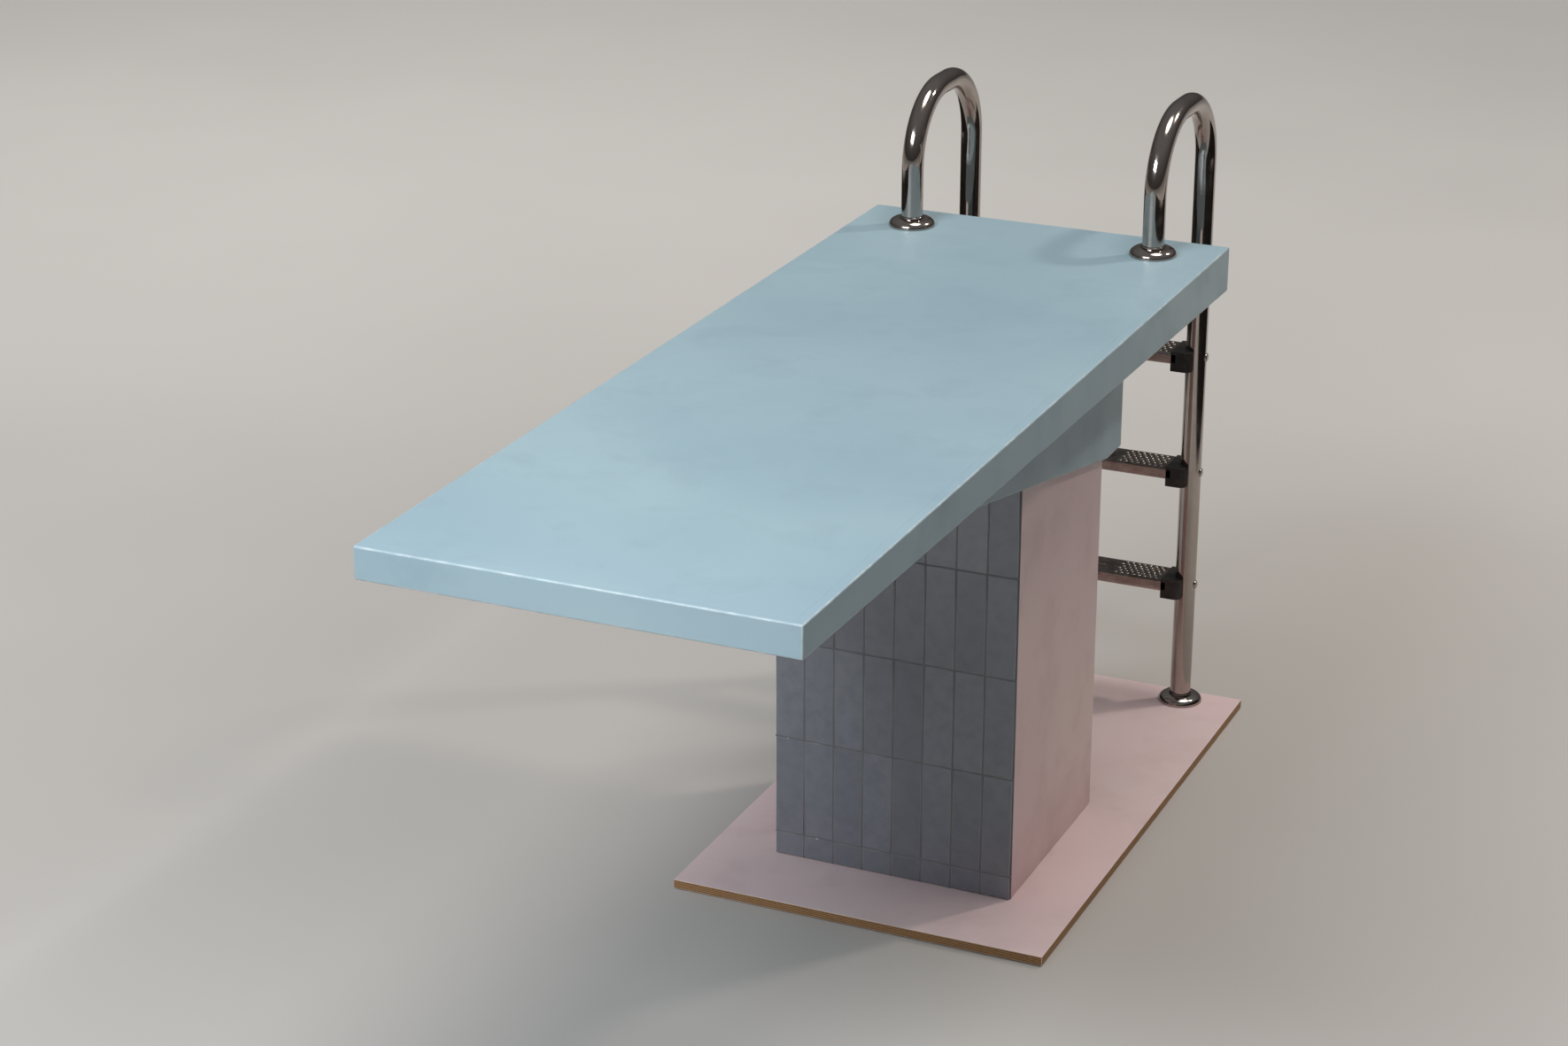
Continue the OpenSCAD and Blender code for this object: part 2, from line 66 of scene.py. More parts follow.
# ---------------------------------------------------------------- base panel
# The base is one sheet of 18 mm birch plywood that lies on thin rubber pads.
# Its top is rolled with the same pink satin enamel as the tower, painted lighter
# here as painted light, since the base lies in more light than the tower's sides.
# The sawn edges were left bare, so the plies and their darker glue lines show all round.

MIX_A, MIX_B = 6, 7  # a colour Mix node's two colours, by socket number


def colour(text):
    """An sRGB hex value as linear red, green, blue and alpha."""
    parts = [int(text[i:i + 2], 16) / 255 for i in (1, 3, 5)]
    return [c / 12.92 if c <= 0.04045 else ((c + 0.055) / 1.055) ** 2.4 for c in parts] + [1.0]


def feed(tree, node, inputs):
    """Link each input that is given a socket, or a node for its first output in use,
    and set any other."""
    for key, value in inputs.items():
        if isinstance(value, bpy.types.Node):
            value = next(out for out in value.outputs if out.enabled)
        if isinstance(value, bpy.types.NodeSocket):
            tree.links.new(value, node.inputs[key])
        else:
            node.inputs[key].default_value = value


def put(tree, kind, inputs=None, **settings):
    """Add a node with its settings and its inputs."""
    made = tree.nodes.new(kind)
    for name, value in settings.items():
        setattr(made, name, value)
    feed(tree, made, inputs or {})
    return made


def new_finish(name, roughness, metallic=0.0):
    """Start a material: it, its node tree, its shader and the piece's own coordinates."""
    made = bpy.data.materials.new(name)
    made.use_nodes = True
    shader = made.node_tree.nodes["Principled BSDF"]
    shader.inputs["Roughness"].default_value = roughness
    shader.inputs["Metallic"].default_value = metallic
    place = put(made.node_tree, "ShaderNodeTexCoord").outputs["Object"]
    return made, made.node_tree, shader, place


def rolled_enamel(name, paint, sunned, grime, undercoat, kicked_to=0.0):
    """Satin oil enamel, rolled on filled plywood: fine orange peel, a slow drift
    of tone, faint scuffs, and rounded edges lightened towards the undercoat,
    partly as knocks and partly as a painted highlight.
    Feet and mops leave more marks on it below the height kicked_to."""
    made, tree, shader, place = new_finish(name, 0.38)
    drift = put(tree, "ShaderNodeTexNoise", {"Vector": place, "Scale": 1.7, "Detail": 2.0})
    tone = put(tree, "ShaderNodeMix", {
        0: put(tree, "ShaderNodeMapRange", {"Value": drift, "From Min": 0.35, "From Max": 0.68}),
        MIX_A: colour(paint), MIX_B: colour(sunned)}, data_type="RGBA")
    # hand and shoe marks, a few centimetres across
    marks = put(tree, "ShaderNodeTexNoise", {
        "Vector": place, "Scale": 9.0, "Detail": 5.0, "Roughness": 0.55, "Distortion": 0.3})
    lift = put(tree, "ShaderNodeSeparateXYZ", {"Vector": place}).outputs["Z"]
    kicked = put(tree, "ShaderNodeMapRange", {
        "Value": lift, "From Min": kicked_to, "From Max": min(kicked_to, 0.02), "To Max": 0.16})
    marked = put(tree, "ShaderNodeMath", {0: marks, 1: kicked if kicked_to else 0.0}, operation="ADD")
    soiled = put(tree, "ShaderNodeMapRange", {
        "Value": marked, "From Min": 0.5, "From Max": 0.8, "To Max": 0.26})
    dirty = put(tree, "ShaderNodeMix", {0: soiled, MIX_A: tone, MIX_B: colour(grime)}, data_type="RGBA")
    # long thin scratches: a noise drawn out along the board
    drawn = put(tree, "ShaderNodeMapping", {
        "Vector": place, "Rotation": (0.0, 0.0, 0.12), "Scale": (95.0, 5.0, 60.0)})
    scratch = put(tree, "ShaderNodeTexNoise", {
        "Vector": drawn, "Scale": 1.0, "Detail": 3.0, "Roughness": 0.7})
    scratched = put(tree, "ShaderNodeMapRange", {
        "Value": scratch, "From Min": 0.74, "From Max": 0.79, "To Max": 0.3})
    scuffed = put(tree, "ShaderNodeMix", {0: scratched, MIX_A: dirty, MIX_B: colour(undercoat)},
        data_type="RGBA")
    # knocks along the rounded edges, and a painted highlight: every rounded edge is lightened at least a
    # little towards the undercoat
    rim = put(tree, "ShaderNodeAttribute", attribute_name="arris")
    knock = put(tree, "ShaderNodeTexNoise", {"Vector": place, "Scale": 34.0, "Detail": 5.0})
    knocked_and_highlit = put(tree, "ShaderNodeMath", {
        0: rim.outputs["Fac"],
        1: put(tree, "ShaderNodeMapRange", {
            "Value": knock, "From Min": 0.44, "From Max": 0.66, "To Min": 0.2, "To Max": 0.9})},
        operation="MULTIPLY")
    edged = put(tree, "ShaderNodeMix", {0: knocked_and_highlit, MIX_A: scuffed, MIX_B: colour(undercoat)},
        data_type="RGBA")
    sheen = put(tree, "ShaderNodeMapRange", {
        "Value": marks, "From Min": 0.3, "From Max": 0.75, "To Min": 0.33, "To Max": 0.46})
    # a mohair roller leaves a stipple near 2 mm; it is drawn at 4 mm so that it shows
    stipple = put(tree, "ShaderNodeTexNoise", {"Vector": place, "Scale": 240.0, "Detail": 2.0})
    peel = put(tree, "ShaderNodeBump", {"Strength": 0.16, "Distance": 0.0004, "Height": stipple})
    # plywood is never quite flat under its paint
    sag = put(tree, "ShaderNodeTexNoise", {"Vector": place, "Scale": 4.5, "Detail": 1.0})
    wave = put(tree, "ShaderNodeBump", {
        "Strength": 0.09, "Distance": 0.0025, "Height": sag, "Normal": peel})
    feed(tree, shader, {"Base Color": edged, "Roughness": sheen, "Normal": wave})
    return made


def bare_ply_edge():
    """The sawn edge of birch plywood: pale and brown plies in turn, and end grain
    flecks. A pale and a brown ply together are drawn 3.6 mm thick, a little more
    than the true pair, so that they show."""
    made, tree, shader, place = new_finish("bare_birch_ply_edge", 0.7)
    height = put(tree, "ShaderNodeSeparateXYZ", {"Vector": place}).outputs["Z"]
    waver = put(tree, "ShaderNodeTexNoise", {"Vector": place, "Scale": 18.0, "Detail": 2.0})
    layer = put(tree, "ShaderNodeMath", {
        0: height, 1: put(tree, "ShaderNodeMath", {0: waver, 1: 0.0012},
                          operation="MULTIPLY")}, operation="ADD")
    ply = put(tree, "ShaderNodeMath", {0: layer, 1: 0.0036}, operation="DIVIDE")
    turn = put(tree, "ShaderNodeMath", {0: ply}, operation="FRACT")
    dark = put(tree, "ShaderNodeMapRange", {"Value": turn, "From Min": 0.42, "From Max": 0.58})
    plies = put(tree, "ShaderNodeMix", {
        0: dark, MIX_A: colour("#c39a6b"), MIX_B: colour("#7d5433")}, data_type="RGBA")
    fleck = put(tree, "ShaderNodeTexNoise", {"Vector": place, "Scale": 420.0, "Detail": 2.0})
    grained = put(tree, "ShaderNodeMix", {
        0: put(tree, "ShaderNodeMapRange", {
            "Value": fleck, "From Min": 0.5, "From Max": 0.8, "To Max": 0.5}),
        MIX_A: plies, MIX_B: colour("#4c3322")}, data_type="RGBA")
    bump = put(tree, "ShaderNodeBump", {"Strength": 0.4, "Distance": 0.0004, "Height": fleck})
    feed(tree, shader, {"Base Color": grained, "Normal": bump})
    return made


def placed(name, mesh):
    """Make an object of a mesh, a lamp or a camera, at the origin, and link it."""
    piece = bpy.data.objects.new(name, mesh)
    scene.collection.objects.link(piece)
    return piece


def quarter(steps):
    """The angles of a quarter turn, in equal steps."""
    return [math.pi / 2 * i / steps for i in range(steps + 1)]


def settled(name, shape, finish=None):
    """End a bmesh as a mesh, in the finish that is given."""
    mesh = bpy.data.meshes.new(name)
    shape.to_mesh(mesh)
    shape.free()
    if finish:
        mesh.materials.append(finish)
    return mesh


def eased(node, arris, finish, skin_of=None, segments=3, shortest=0.009):
    """Copy a CAD panel, weld its triangles and round its long edges over. The rounded
    strips carry the attribute arris, so that a finish can wear them and lighten them
    as a painted highlight. Where a panel is part of the skin of a box (its two
    corners), only the edges on the box's outside are rounded, and the joints between
    panels stay as filled hairlines."""
    hairline, square_on, on_skin = 0.0003, 0.9, 0.001
    shape = bmesh.new()
    shape.from_mesh(nodes[node].data)
    bmesh.ops.remove_doubles(shape, verts=shape.verts, dist=1e-5)
    bmesh.ops.dissolve_limit(shape, angle_limit=math.radians(0.5), verts=shape.verts, edges=shape.edges)
    rim = shape.faces.layers.float.new("arris")

    def outside(face):
        if skin_of is None or abs(face.normal.z) > square_on:
            return True
        middle = face.calc_center_median()
        return any(
            abs(face.normal[i]) > square_on and abs(middle[i] - corner[i]) < on_skin
            for i in (0, 1) for corner in skin_of)

    sharp = [
        e for e in shape.edges
        if e.is_manifold and e.calc_length() > shortest and e.calc_face_angle() > math.radians(30)
    ]
    inner = [e for e in sharp if not all(outside(face) for face in e.link_faces)]
    outer = [e for e in sharp if all(outside(face) for face in e.link_faces)]
    if outer:
        strips = bmesh.ops.bevel(
            shape, geom=outer, offset=arris, segments=segments, profile=0.5, affect="EDGES",
            clamp_overlap=True)
        for face in strips["faces"]:
            face[rim] = 1.0
            face.smooth = True
    inner = [e for e in inner if e.is_valid]
    if inner:
        bmesh.ops.bevel(
            shape, geom=inner, offset=hairline, segments=1, affect="EDGES", clamp_overlap=True)
    return placed(node + "_eased", settled(node + "_eased", shape, finish))


def corners(*names):
    """The low and the high corner of the box round one or more CAD nodes."""
    ends = [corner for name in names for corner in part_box(name)]
    return [Vector([pick(c[i] for c in ends) for i in range(3)]) for pick in (min, max)]


def stands_for(piece, node):
    """Seat a finished piece in the place of one CAD node, on the body that carries it."""
    owner = next(b for b, members in frame["record"]["behaviour"]["bodies"].items() if node in members)
    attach(piece, owner)
    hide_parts(node)


# the base's copy of the tower's pink enamel, painted lighter as painted light: the base lies in more light
# than the tower's sides
pink_enamel_painted_lighter = rolled_enamel("rolled_pink_enamel_painted_lighter", "#e4ccce", "#ebd8d7", "#b79d9b", "#f1e6e4")
ply_edge = bare_ply_edge()

base = eased("base_panel", 0.0008, pink_enamel_painted_lighter)
base.data.materials.append(ply_edge)
SAWN_AREA = 0.002  # the four sawn sides are larger than this, and the holes' facets smaller
for face in base.data.polygons:
    outward = max(abs(face.normal.x), abs(face.normal.y)) > 0.9
    if outward and face.area > SAWN_AREA:
        face.material_index = 1
stands_for(base, "base_panel")


# ----------------------------------------------------------------- base pads
# Nine thin discs of black natural rubber are glued under the base. They stop it
# from walking on a hard floor and leave a dark line of shadow under the edge.

def matt_rubber():
    """Natural rubber sheet: near black, dusty and dead matt."""
    made, tree, shader, place = new_finish("natural_rubber_sheet", 0.86)
    dust = put(tree, "ShaderNodeTexNoise", {"Vector": place, "Scale": 70.0, "Detail": 5.0})
    tone = put(tree, "ShaderNodeMix", {
        0: dust, MIX_A: colour("#17171a"), MIX_B: colour("#2c2a29")}, data_type="RGBA")
    weave = put(tree, "ShaderNodeBump", {"Strength": 0.5, "Distance": 0.0003, "Height": dust})
    feed(tree, shader, {"Base Color": tone, "Normal": weave})
    return made


pads = eased("base_pads", 0.0005, matt_rubber(), segments=2)
stands_for(pads, "base_pads")


# -------------------------------------------------------------- tower panels
# Four 12 mm plywood skins close the tower. The sides run over the front and
# rear skins, and all are filled, sanded and rolled in pink enamel: the same
# paint as the base, whose copy there is painted lighter as painted light.

pink_enamel = rolled_enamel(
    "rolled_pink_enamel", "#dec2c5", "#e6cfce", "#ae9492", "#eee0de", kicked_to=0.26)
tower_skins = ("tower_left_panel", "tower_right_panel", "tower_rear_panel", "tower_front_panel")
for panel in tower_skins:
    stands_for(eased(panel, 0.0013, pink_enamel, corners(*tower_skins)), panel)


# ---------------------------------------------------------------- front tiles
# The face towards the pool is laid with tall glazed tiles, 60 by 200 mm, in
# straight stacks. They are thin pressed stoneware under a glossy slate-blue
# glaze, drawn dark partly as painted shade from the board above. Each rounded
# edge is lighter, partly as a thinner glaze and partly as a painted highlight.

def glazed_stoneware(pitch_x, pitch_z, corner):
    """A glossy glaze, with its own tone on each tile, pooled and mottled inside it."""
    made, tree, shader, place = new_finish("slate_blue_glaze_darkened_as_painted_shade", 0.12)
    counted = put(tree, "ShaderNodeVectorMath", {0: place, 1: corner}, operation="SUBTRACT")
    bays = put(tree, "ShaderNodeVectorMath", {0: counted, 1: (pitch_x, 1.0, pitch_z)}, operation="DIVIDE")
    whole = put(tree, "ShaderNodeVectorMath", {0: bays}, operation="FLOOR")
    own = put(tree, "ShaderNodeTexWhiteNoise", {"Vector": whole}, noise_dimensions="3D")
    # the slate-blue tones are dark partly as painted shade from the board above
    tone = put(tree, "ShaderNodeMix", {
        0: own, MIX_A: colour("#7b7e88"), MIX_B: colour("#8a8e98")}, data_type="RGBA")
    pool = put(tree, "ShaderNodeTexNoise", {"Vector": place, "Scale": 46.0, "Detail": 4.0})
    mottled = put(tree, "ShaderNodeMix", {
        0: put(tree, "ShaderNodeMapRange", {
            "Value": pool, "From Min": 0.4, "From Max": 0.8, "To Max": 0.4}),
        MIX_A: tone, MIX_B: colour("#666a75")}, data_type="RGBA")
    rim = put(tree, "ShaderNodeAttribute", attribute_name="arris")
    # the rounded rims are lightened: partly a thinner glaze, partly a painted highlight
    thinned_and_highlit = put(tree, "ShaderNodeMix", {
        0: put(tree, "ShaderNodeMath", {0: rim.outputs["Fac"], 1: 0.55}, operation="MULTIPLY"),
        MIX_A: mottled, MIX_B: colour("#9b9a9c")}, data_type="RGBA")
    ripple = put(tree, "ShaderNodeTexNoise", {"Vector": place, "Scale": 24.0, "Detail": 1.0})
    bump = put(tree, "ShaderNodeBump", {"Strength": 0.5, "Distance": 0.0011, "Height": ripple})
    feed(tree, shader, {
        "Coat Weight": 0.5, "Coat Roughness": 0.05, "Base Color": thinned_and_highlit, "Normal": bump})
    return made


def socket_names(tree, names):
    """Give a Geometry Nodes tree its named inputs and one mesh output."""
    for name, kind in names:
        tree.interface.new_socket(name, in_out="INPUT", socket_type=kind)
    tree.interface.new_socket("Mesh", in_out="OUTPUT", socket_type="NodeSocketGeometry")


def laying_tree():
    """Geometry Nodes that set one pattern piece at every point, facing the way the
    point says, each turned a hair at random as a hand leaves it."""
    tree = bpy.data.node_groups.new("laying", "GeometryNodeTree")
    socket_names(tree, [
        ("Places", "NodeSocketGeometry"), ("Pattern", "NodeSocketObject"),
        ("Wobble", "NodeSocketFloat"), ("Spin", "NodeSocketFloat"),
        ("Seed", "NodeSocketInt"), ("Finish", "NodeSocketMaterial")])
    given = put(tree, "NodeGroupInput")
    pattern = put(tree, "GeometryNodeObjectInfo", {"Object": given.outputs["Pattern"]})
    facing = put(tree, "GeometryNodeInputNamedAttribute", {"Name": "facing"}, data_type="FLOAT_VECTOR")
    swing = {"X": given.outputs["Wobble"], "Y": given.outputs["Wobble"], "Z": given.outputs["Spin"]}
    back = {
        axis: put(tree, "ShaderNodeMath", {0: size, 1: -1.0}, operation="MULTIPLY")
        for axis, size in swing.items()
    }
    least = put(tree, "ShaderNodeCombineXYZ", back)
    most = put(tree, "ShaderNodeCombineXYZ", swing)
    chance = put(tree, "FunctionNodeRandomValue", {0: least, 1: most, "Seed": given.outputs["Seed"]},
        data_type="FLOAT_VECTOR")
    laid = put(tree, "GeometryNodeInstanceOnPoints", {
        "Points": given.outputs["Places"], "Instance": pattern.outputs["Geometry"],
        "Rotation": facing})
    jogged = put(tree, "GeometryNodeRotateInstances", {"Instances": laid, "Rotation": chance})
    real = put(tree, "GeometryNodeRealizeInstances", {"Geometry": jogged})
    dressed = put(tree, "GeometryNodeSetMaterial", {
        "Geometry": real, "Material": given.outputs["Finish"]})
    put(tree, "NodeGroupOutput", {"Mesh": dressed})
    return tree


def grown(name, tree, start, settings):
    """Run a tree on a starting mesh, and keep the result as a plain mesh piece."""
    holder = placed(name + "_start", start)
    growth = holder.modifiers.new("growth", "NODES")
    growth.node_group = tree
    for item in tree.interface.items_tree:
        if item.in_out == "INPUT" and item.name in settings:
            growth[item.identifier] = settings[item.name]
    seen = holder.evaluated_get(bpy.context.evaluated_depsgraph_get())
    mesh = bpy.data.meshes.new_from_object(seen)
    mesh.name = name
    for face in mesh.polygons:
        face.material_index = 0
    mesh.materials.clear()
    mesh.materials.append(settings["Finish"])
    holder.modifiers.remove(growth)
    bpy.data.objects.remove(holder)
    return placed(name, mesh)


def laid_out(name, pattern, places, finish, wobble=0.0, spin=0.0, seed=1):
    """Lay copies of a pattern mesh at places, a list of (point, facing) pairs."""
    points = bpy.data.meshes.new(name + "_places")
    points.from_pydata([tuple(point) for point, facing in places], [], [])
    turn = points.attributes.new("facing", "FLOAT_VECTOR", "POINT")
    for i, (point, facing) in enumerate(places):
        turn.data[i].vector = facing
    model = placed(name + "_pattern", pattern)
    piece = grown(name, laying, points, {
        "Pattern": model, "Wobble": wobble, "Spin": spin, "Seed": seed, "Finish": finish})
    bpy.data.objects.remove(model)
    return piece


def joined(name, pieces, finish):
    """Make one piece of several that have the same finish."""
    shape = bmesh.new()
    for part in pieces:
        shape.from_mesh(part.data)
    for face in shape.faces:
        face.material_index = 0
    mesh = settled(name, shape, finish)
    for part in pieces:
        bpy.data.objects.remove(part)
    return placed(name, mesh)


def pressed_tile(width, height, depth, arris):
    """One tile, centred on the middle of its back face, with a pillowed front."""
    shape = bmesh.new()
    bmesh.ops.create_cube(shape, size=1.0)
    for v in shape.verts:
        v.co = Vector((v.co.x * width, (v.co.y - 0.5) * depth, v.co.z * height))
    rim = shape.faces.layers.float.new("arris")
    front = [e for e in shape.edges if all(v.co.y < -depth / 2 for v in e.verts)]
    strips = bmesh.ops.bevel(shape, geom=front, offset=arris, segments=3, profile=0.6, affect="EDGES")
    for face in strips["faces"]:
        face.smooth = True
        face[rim] = 1.0
    return settled("pressed_tile", shape)


laying = laying_tree()
tile_low, tile_high = corners("front_tiles")
COLUMNS = 8
JOINT = 0.0025
TILE_ARRIS, BACK_GAP = 0.0018, 0.0004
TILE_PITCH = 0.200
FIRST_COURSE = 0.048
column_pitch = (tile_high.x - tile_low.x + JOINT) / COLUMNS
course_floor = tile_low.z - JOINT / 2
course_edges = [course_floor, course_floor + FIRST_COURSE]
while course_edges[-1] + TILE_PITCH < tile_high.z:
    course_edges.append(course_edges[-1] + TILE_PITCH)
course_edges.append(tile_high.z + JOINT / 2)
glaze = glazed_stoneware(
    column_pitch, TILE_PITCH, (tile_low.x - JOINT / 2, tile_low.y - 0.5, course_edges[1] - TILE_PITCH))
courses = []
for row, (low, high) in enumerate(zip(course_edges, course_edges[1:])):
    tile = pressed_tile(
        column_pitch - JOINT, high - low - JOINT, tile_high.y - tile_low.y - BACK_GAP, TILE_ARRIS)
    spots = [
        ((tile_low.x + (i + 0.5) * column_pitch - JOINT / 2, tile_high.y, (low + high) / 2), (0, 0, 0))
        for i in range(COLUMNS)
    ]
    courses.append(laid_out(f"course_{row}", tile, spots, glaze, wobble=0.003, spin=0.004, seed=7 + row))
tiles = joined("front_tiles_laid", courses, glaze)
stands_for(tiles, "front_tiles")


# ---------------------------------------------------------------- tile grout
# A grey cement grout fills the joints to a millimetre below the glaze. It is
# sandy and matt, with darker patches.

def sanded_grout():
    """Cement grout with fine sand: matt, pitted, with damp stains."""
    made, tree, shader, place = new_finish("sanded_cement_grout", 0.92)
    sand = put(tree, "ShaderNodeTexNoise", {"Vector": place, "Scale": 700.0, "Detail": 3.0})
    stain = put(tree, "ShaderNodeTexNoise", {"Vector": place, "Scale": 14.0, "Detail": 4.0})
    tone = put(tree, "ShaderNodeMix", {
        0: stain, MIX_A: colour("#74767c"), MIX_B: colour("#8b8d92")}, data_type="RGBA")
    bump = put(tree, "ShaderNodeBump", {"Strength": 0.7, "Distance": 0.0005, "Height": sand})
    feed(tree, shader, {"Base Color": tone, "Normal": bump})
    return made


def refinish(node, finish):
    """Give a CAD node that keeps its shape a finish of its own."""
    nodes[node].data.materials.clear()
    nodes[node].data.materials.append(finish)


refinish("tile_grout", sanded_grout())


# --------------------------------------------------------------- beam and board
# The beam is a tapered plywood box, and the board a flat one: deck, underside,
# two edge boards and two fascias round a frame of joists. Everything is filled
# and rolled in pale blue satin enamel. Only the board's outer edge is rounded
# over with a router; the joints between panels stay as hairlines.

blue_enamel = rolled_enamel("rolled_pale_blue_enamel", "#9bb6c3", "#a8c2cc", "#7c939f", "#cbdade")

beam_skins = ("beam_left_cheek", "beam_right_cheek", "beam_soffit", "beam_rear_panel")
for panel in beam_skins:
    stands_for(eased(panel, 0.0015, blue_enamel, corners(*beam_skins)), panel)

board_skins = (
    "board_deck", "board_soffit", "board_left_edge", "board_right_edge", "board_tip_fascia",
    "board_rear_fascia")
for panel in board_skins:
    stands_for(eased(panel, 0.003, blue_enamel, corners(*board_skins), segments=4), panel)


# ------------------------------------------------------------------ the rails
# Each rail is one length of 43 mm stainless tube, cold bent round a former and
# then mirror polished by a flap wheel that leaves faint rings round the tube.

def mirror_tube():
    """Polished 304 stainless: nearly a mirror, with hair rings round the tube, a few
    water marks and finger smears that dull it. Its colour is darker and warmer
    than bare steel, as a painted reflection of a dark, warm room."""
    made, tree, shader, place = new_finish("mirror_stainless_darkened_as_painted_reflection", 0.1, metallic=1.0)
    run = put(tree, "ShaderNodeAttribute", attribute_name="along").outputs["Fac"]
    ring_place = put(tree, "ShaderNodeCombineXYZ", {"X": run})
    # rings about 3 mm apart, drawn wider than the true scratches so that they show
    rings = put(tree, "ShaderNodeTexNoise", {
        "Vector": ring_place, "Scale": 330.0, "Detail": 4.0, "Roughness": 0.8})
    smear = put(tree, "ShaderNodeTexNoise", {
        "Vector": place, "Scale": 16.0, "Detail": 6.0, "Roughness": 0.6, "Distortion": 0.6})
    # darker, warmer steel colours: a painted reflection of a dark, warm room; the smears darken them further
    tint = put(tree, "ShaderNodeMix", {
        0: smear, MIX_A: colour("#b6aea8"), MIX_B: colour("#9a908a")}, data_type="RGBA")
    dull = put(tree, "ShaderNodeMapRange", {
        "Value": smear, "From Min": 0.42, "From Max": 0.72, "To Min": 0.07, "To Max": 0.2})
    bump = put(tree, "ShaderNodeBump", {"Strength": 0.12, "Distance": 0.0002, "Height": rings})
    feed(tree, shader, {"Base Color": tint, "Roughness": dull, "Normal": bump})
    return made


def tube_tree():
    """Geometry Nodes that run a round section along a line, and store how far
    along it each point is, in metres."""
    tree = bpy.data.node_groups.new("tube", "GeometryNodeTree")
    socket_names(tree, [
        ("Line", "NodeSocketGeometry"), ("Radius", "NodeSocketFloat"),
        ("Sides", "NodeSocketInt"), ("Finish", "NodeSocketMaterial")])
    given = put(tree, "NodeGroupInput")
    path = put(tree, "GeometryNodeMeshToCurve", {"Mesh": given.outputs["Line"]})
    spot = put(tree, "GeometryNodeSplineParameter")
    marked = put(tree, "GeometryNodeStoreNamedAttribute", {
        "Geometry": path, "Name": "along", "Value": spot.outputs["Length"]},
        data_type="FLOAT", domain="POINT")
    section = put(tree, "GeometryNodeCurvePrimitiveCircle", {
        "Resolution": given.outputs["Sides"], "Radius": given.outputs["Radius"]})
    swept = put(tree, "GeometryNodeCurveToMesh", {
        "Curve": marked, "Profile Curve": section, "Fill Caps": True})
    soft = put(tree, "GeometryNodeSetShadeSmooth", {"Geometry": swept})
    dressed = put(tree, "GeometryNodeSetMaterial", {
        "Geometry": soft, "Material": given.outputs["Finish"]})
    put(tree, "NodeGroupOutput", {"Mesh": dressed})
    return tree


BEND_R = 0.140
ANCHOR_FLANGE_T = 0.004
FRONT_STEPS, REAR_STEPS = 6, 12
bend = quarter(28)
polished = mirror_tube()
tube = tube_tree()
for rail in ("rail_left", "rail_right"):
    low, high = corners(rail)
    tube_r = (high.x - low.x) / 2
    middle_x = (low.x + high.x) / 2
    front_y, rear_y, crown_z = low.y + tube_r, high.y - tube_r, high.z - tube_r
    bend_z = crown_z - BEND_R
    foot_z = corners("deck_anchors")[0].z + ANCHOR_FLANGE_T
    line = [(middle_x, front_y, foot_z + (bend_z - foot_z) * i / FRONT_STEPS) for i in range(FRONT_STEPS)]
    line += [
        (middle_x, front_y + BEND_R - BEND_R * math.cos(a), bend_z + BEND_R * math.sin(a)) for a in bend]
    line += [
        (middle_x, rear_y - BEND_R + BEND_R * math.sin(a), bend_z + BEND_R * math.cos(a)) for a in bend]
    line += [
        (middle_x, rear_y, bend_z + (low.z - bend_z) * i / REAR_STEPS) for i in range(1, REAR_STEPS + 1)]
    track = bpy.data.meshes.new(rail + "_line")
    track.from_pydata(line, [(i, i + 1) for i in range(len(line) - 1)], [])
    bar = grown(rail + "_tube", tube, track, {"Radius": tube_r, "Sides": 56, "Finish": polished})
    stands_for(bar, rail)


# ----------------------------------------------------------------- the covers
# Four domed covers, spun from thin stainless sheet, hide the anchors. Each is
# loose on its leg, so it can be lifted to reach the screws, and drops back.

def turned(name, outline, finish, sides=72, centre=(0, 0, 0)):
    """Turn a closed outline of (radius, height) points round +Z. A point on the axis
    becomes a pole."""
    verts, rings = [], []
    for radius, height in outline:
        if radius < 1e-6:
            rings.append([len(verts)] * sides)
            verts.append((centre[0], centre[1], centre[2] + height))
            continue
        rings.append(list(range(len(verts), len(verts) + sides)))
        for i in range(sides):
            a = 2 * math.pi * i / sides
            verts.append((
                centre[0] + radius * math.cos(a), centre[1] + radius * math.sin(a),
                centre[2] + height))
    faces = []
    for ring, above in zip(rings, rings[1:] + rings[:1]):
        for i in range(sides):
            j = (i + 1) % sides
            around = list(dict.fromkeys([ring[i], ring[j], above[j], above[i]]))
            if len(around) > 2:
                faces.append(around)
    mesh = bpy.data.meshes.new(name)
    mesh.from_pydata(verts, [], faces)
    shape = bmesh.new()
    shape.from_mesh(mesh)
    bmesh.ops.recalc_face_normals(shape, faces=shape.faces)
    for face in shape.faces:
        face.smooth = True
    shape.to_mesh(mesh)
    shape.free()
    mesh.set_sharp_from_angle(angle=math.radians(35))
    if finish:
        mesh.materials.append(finish)
    return mesh


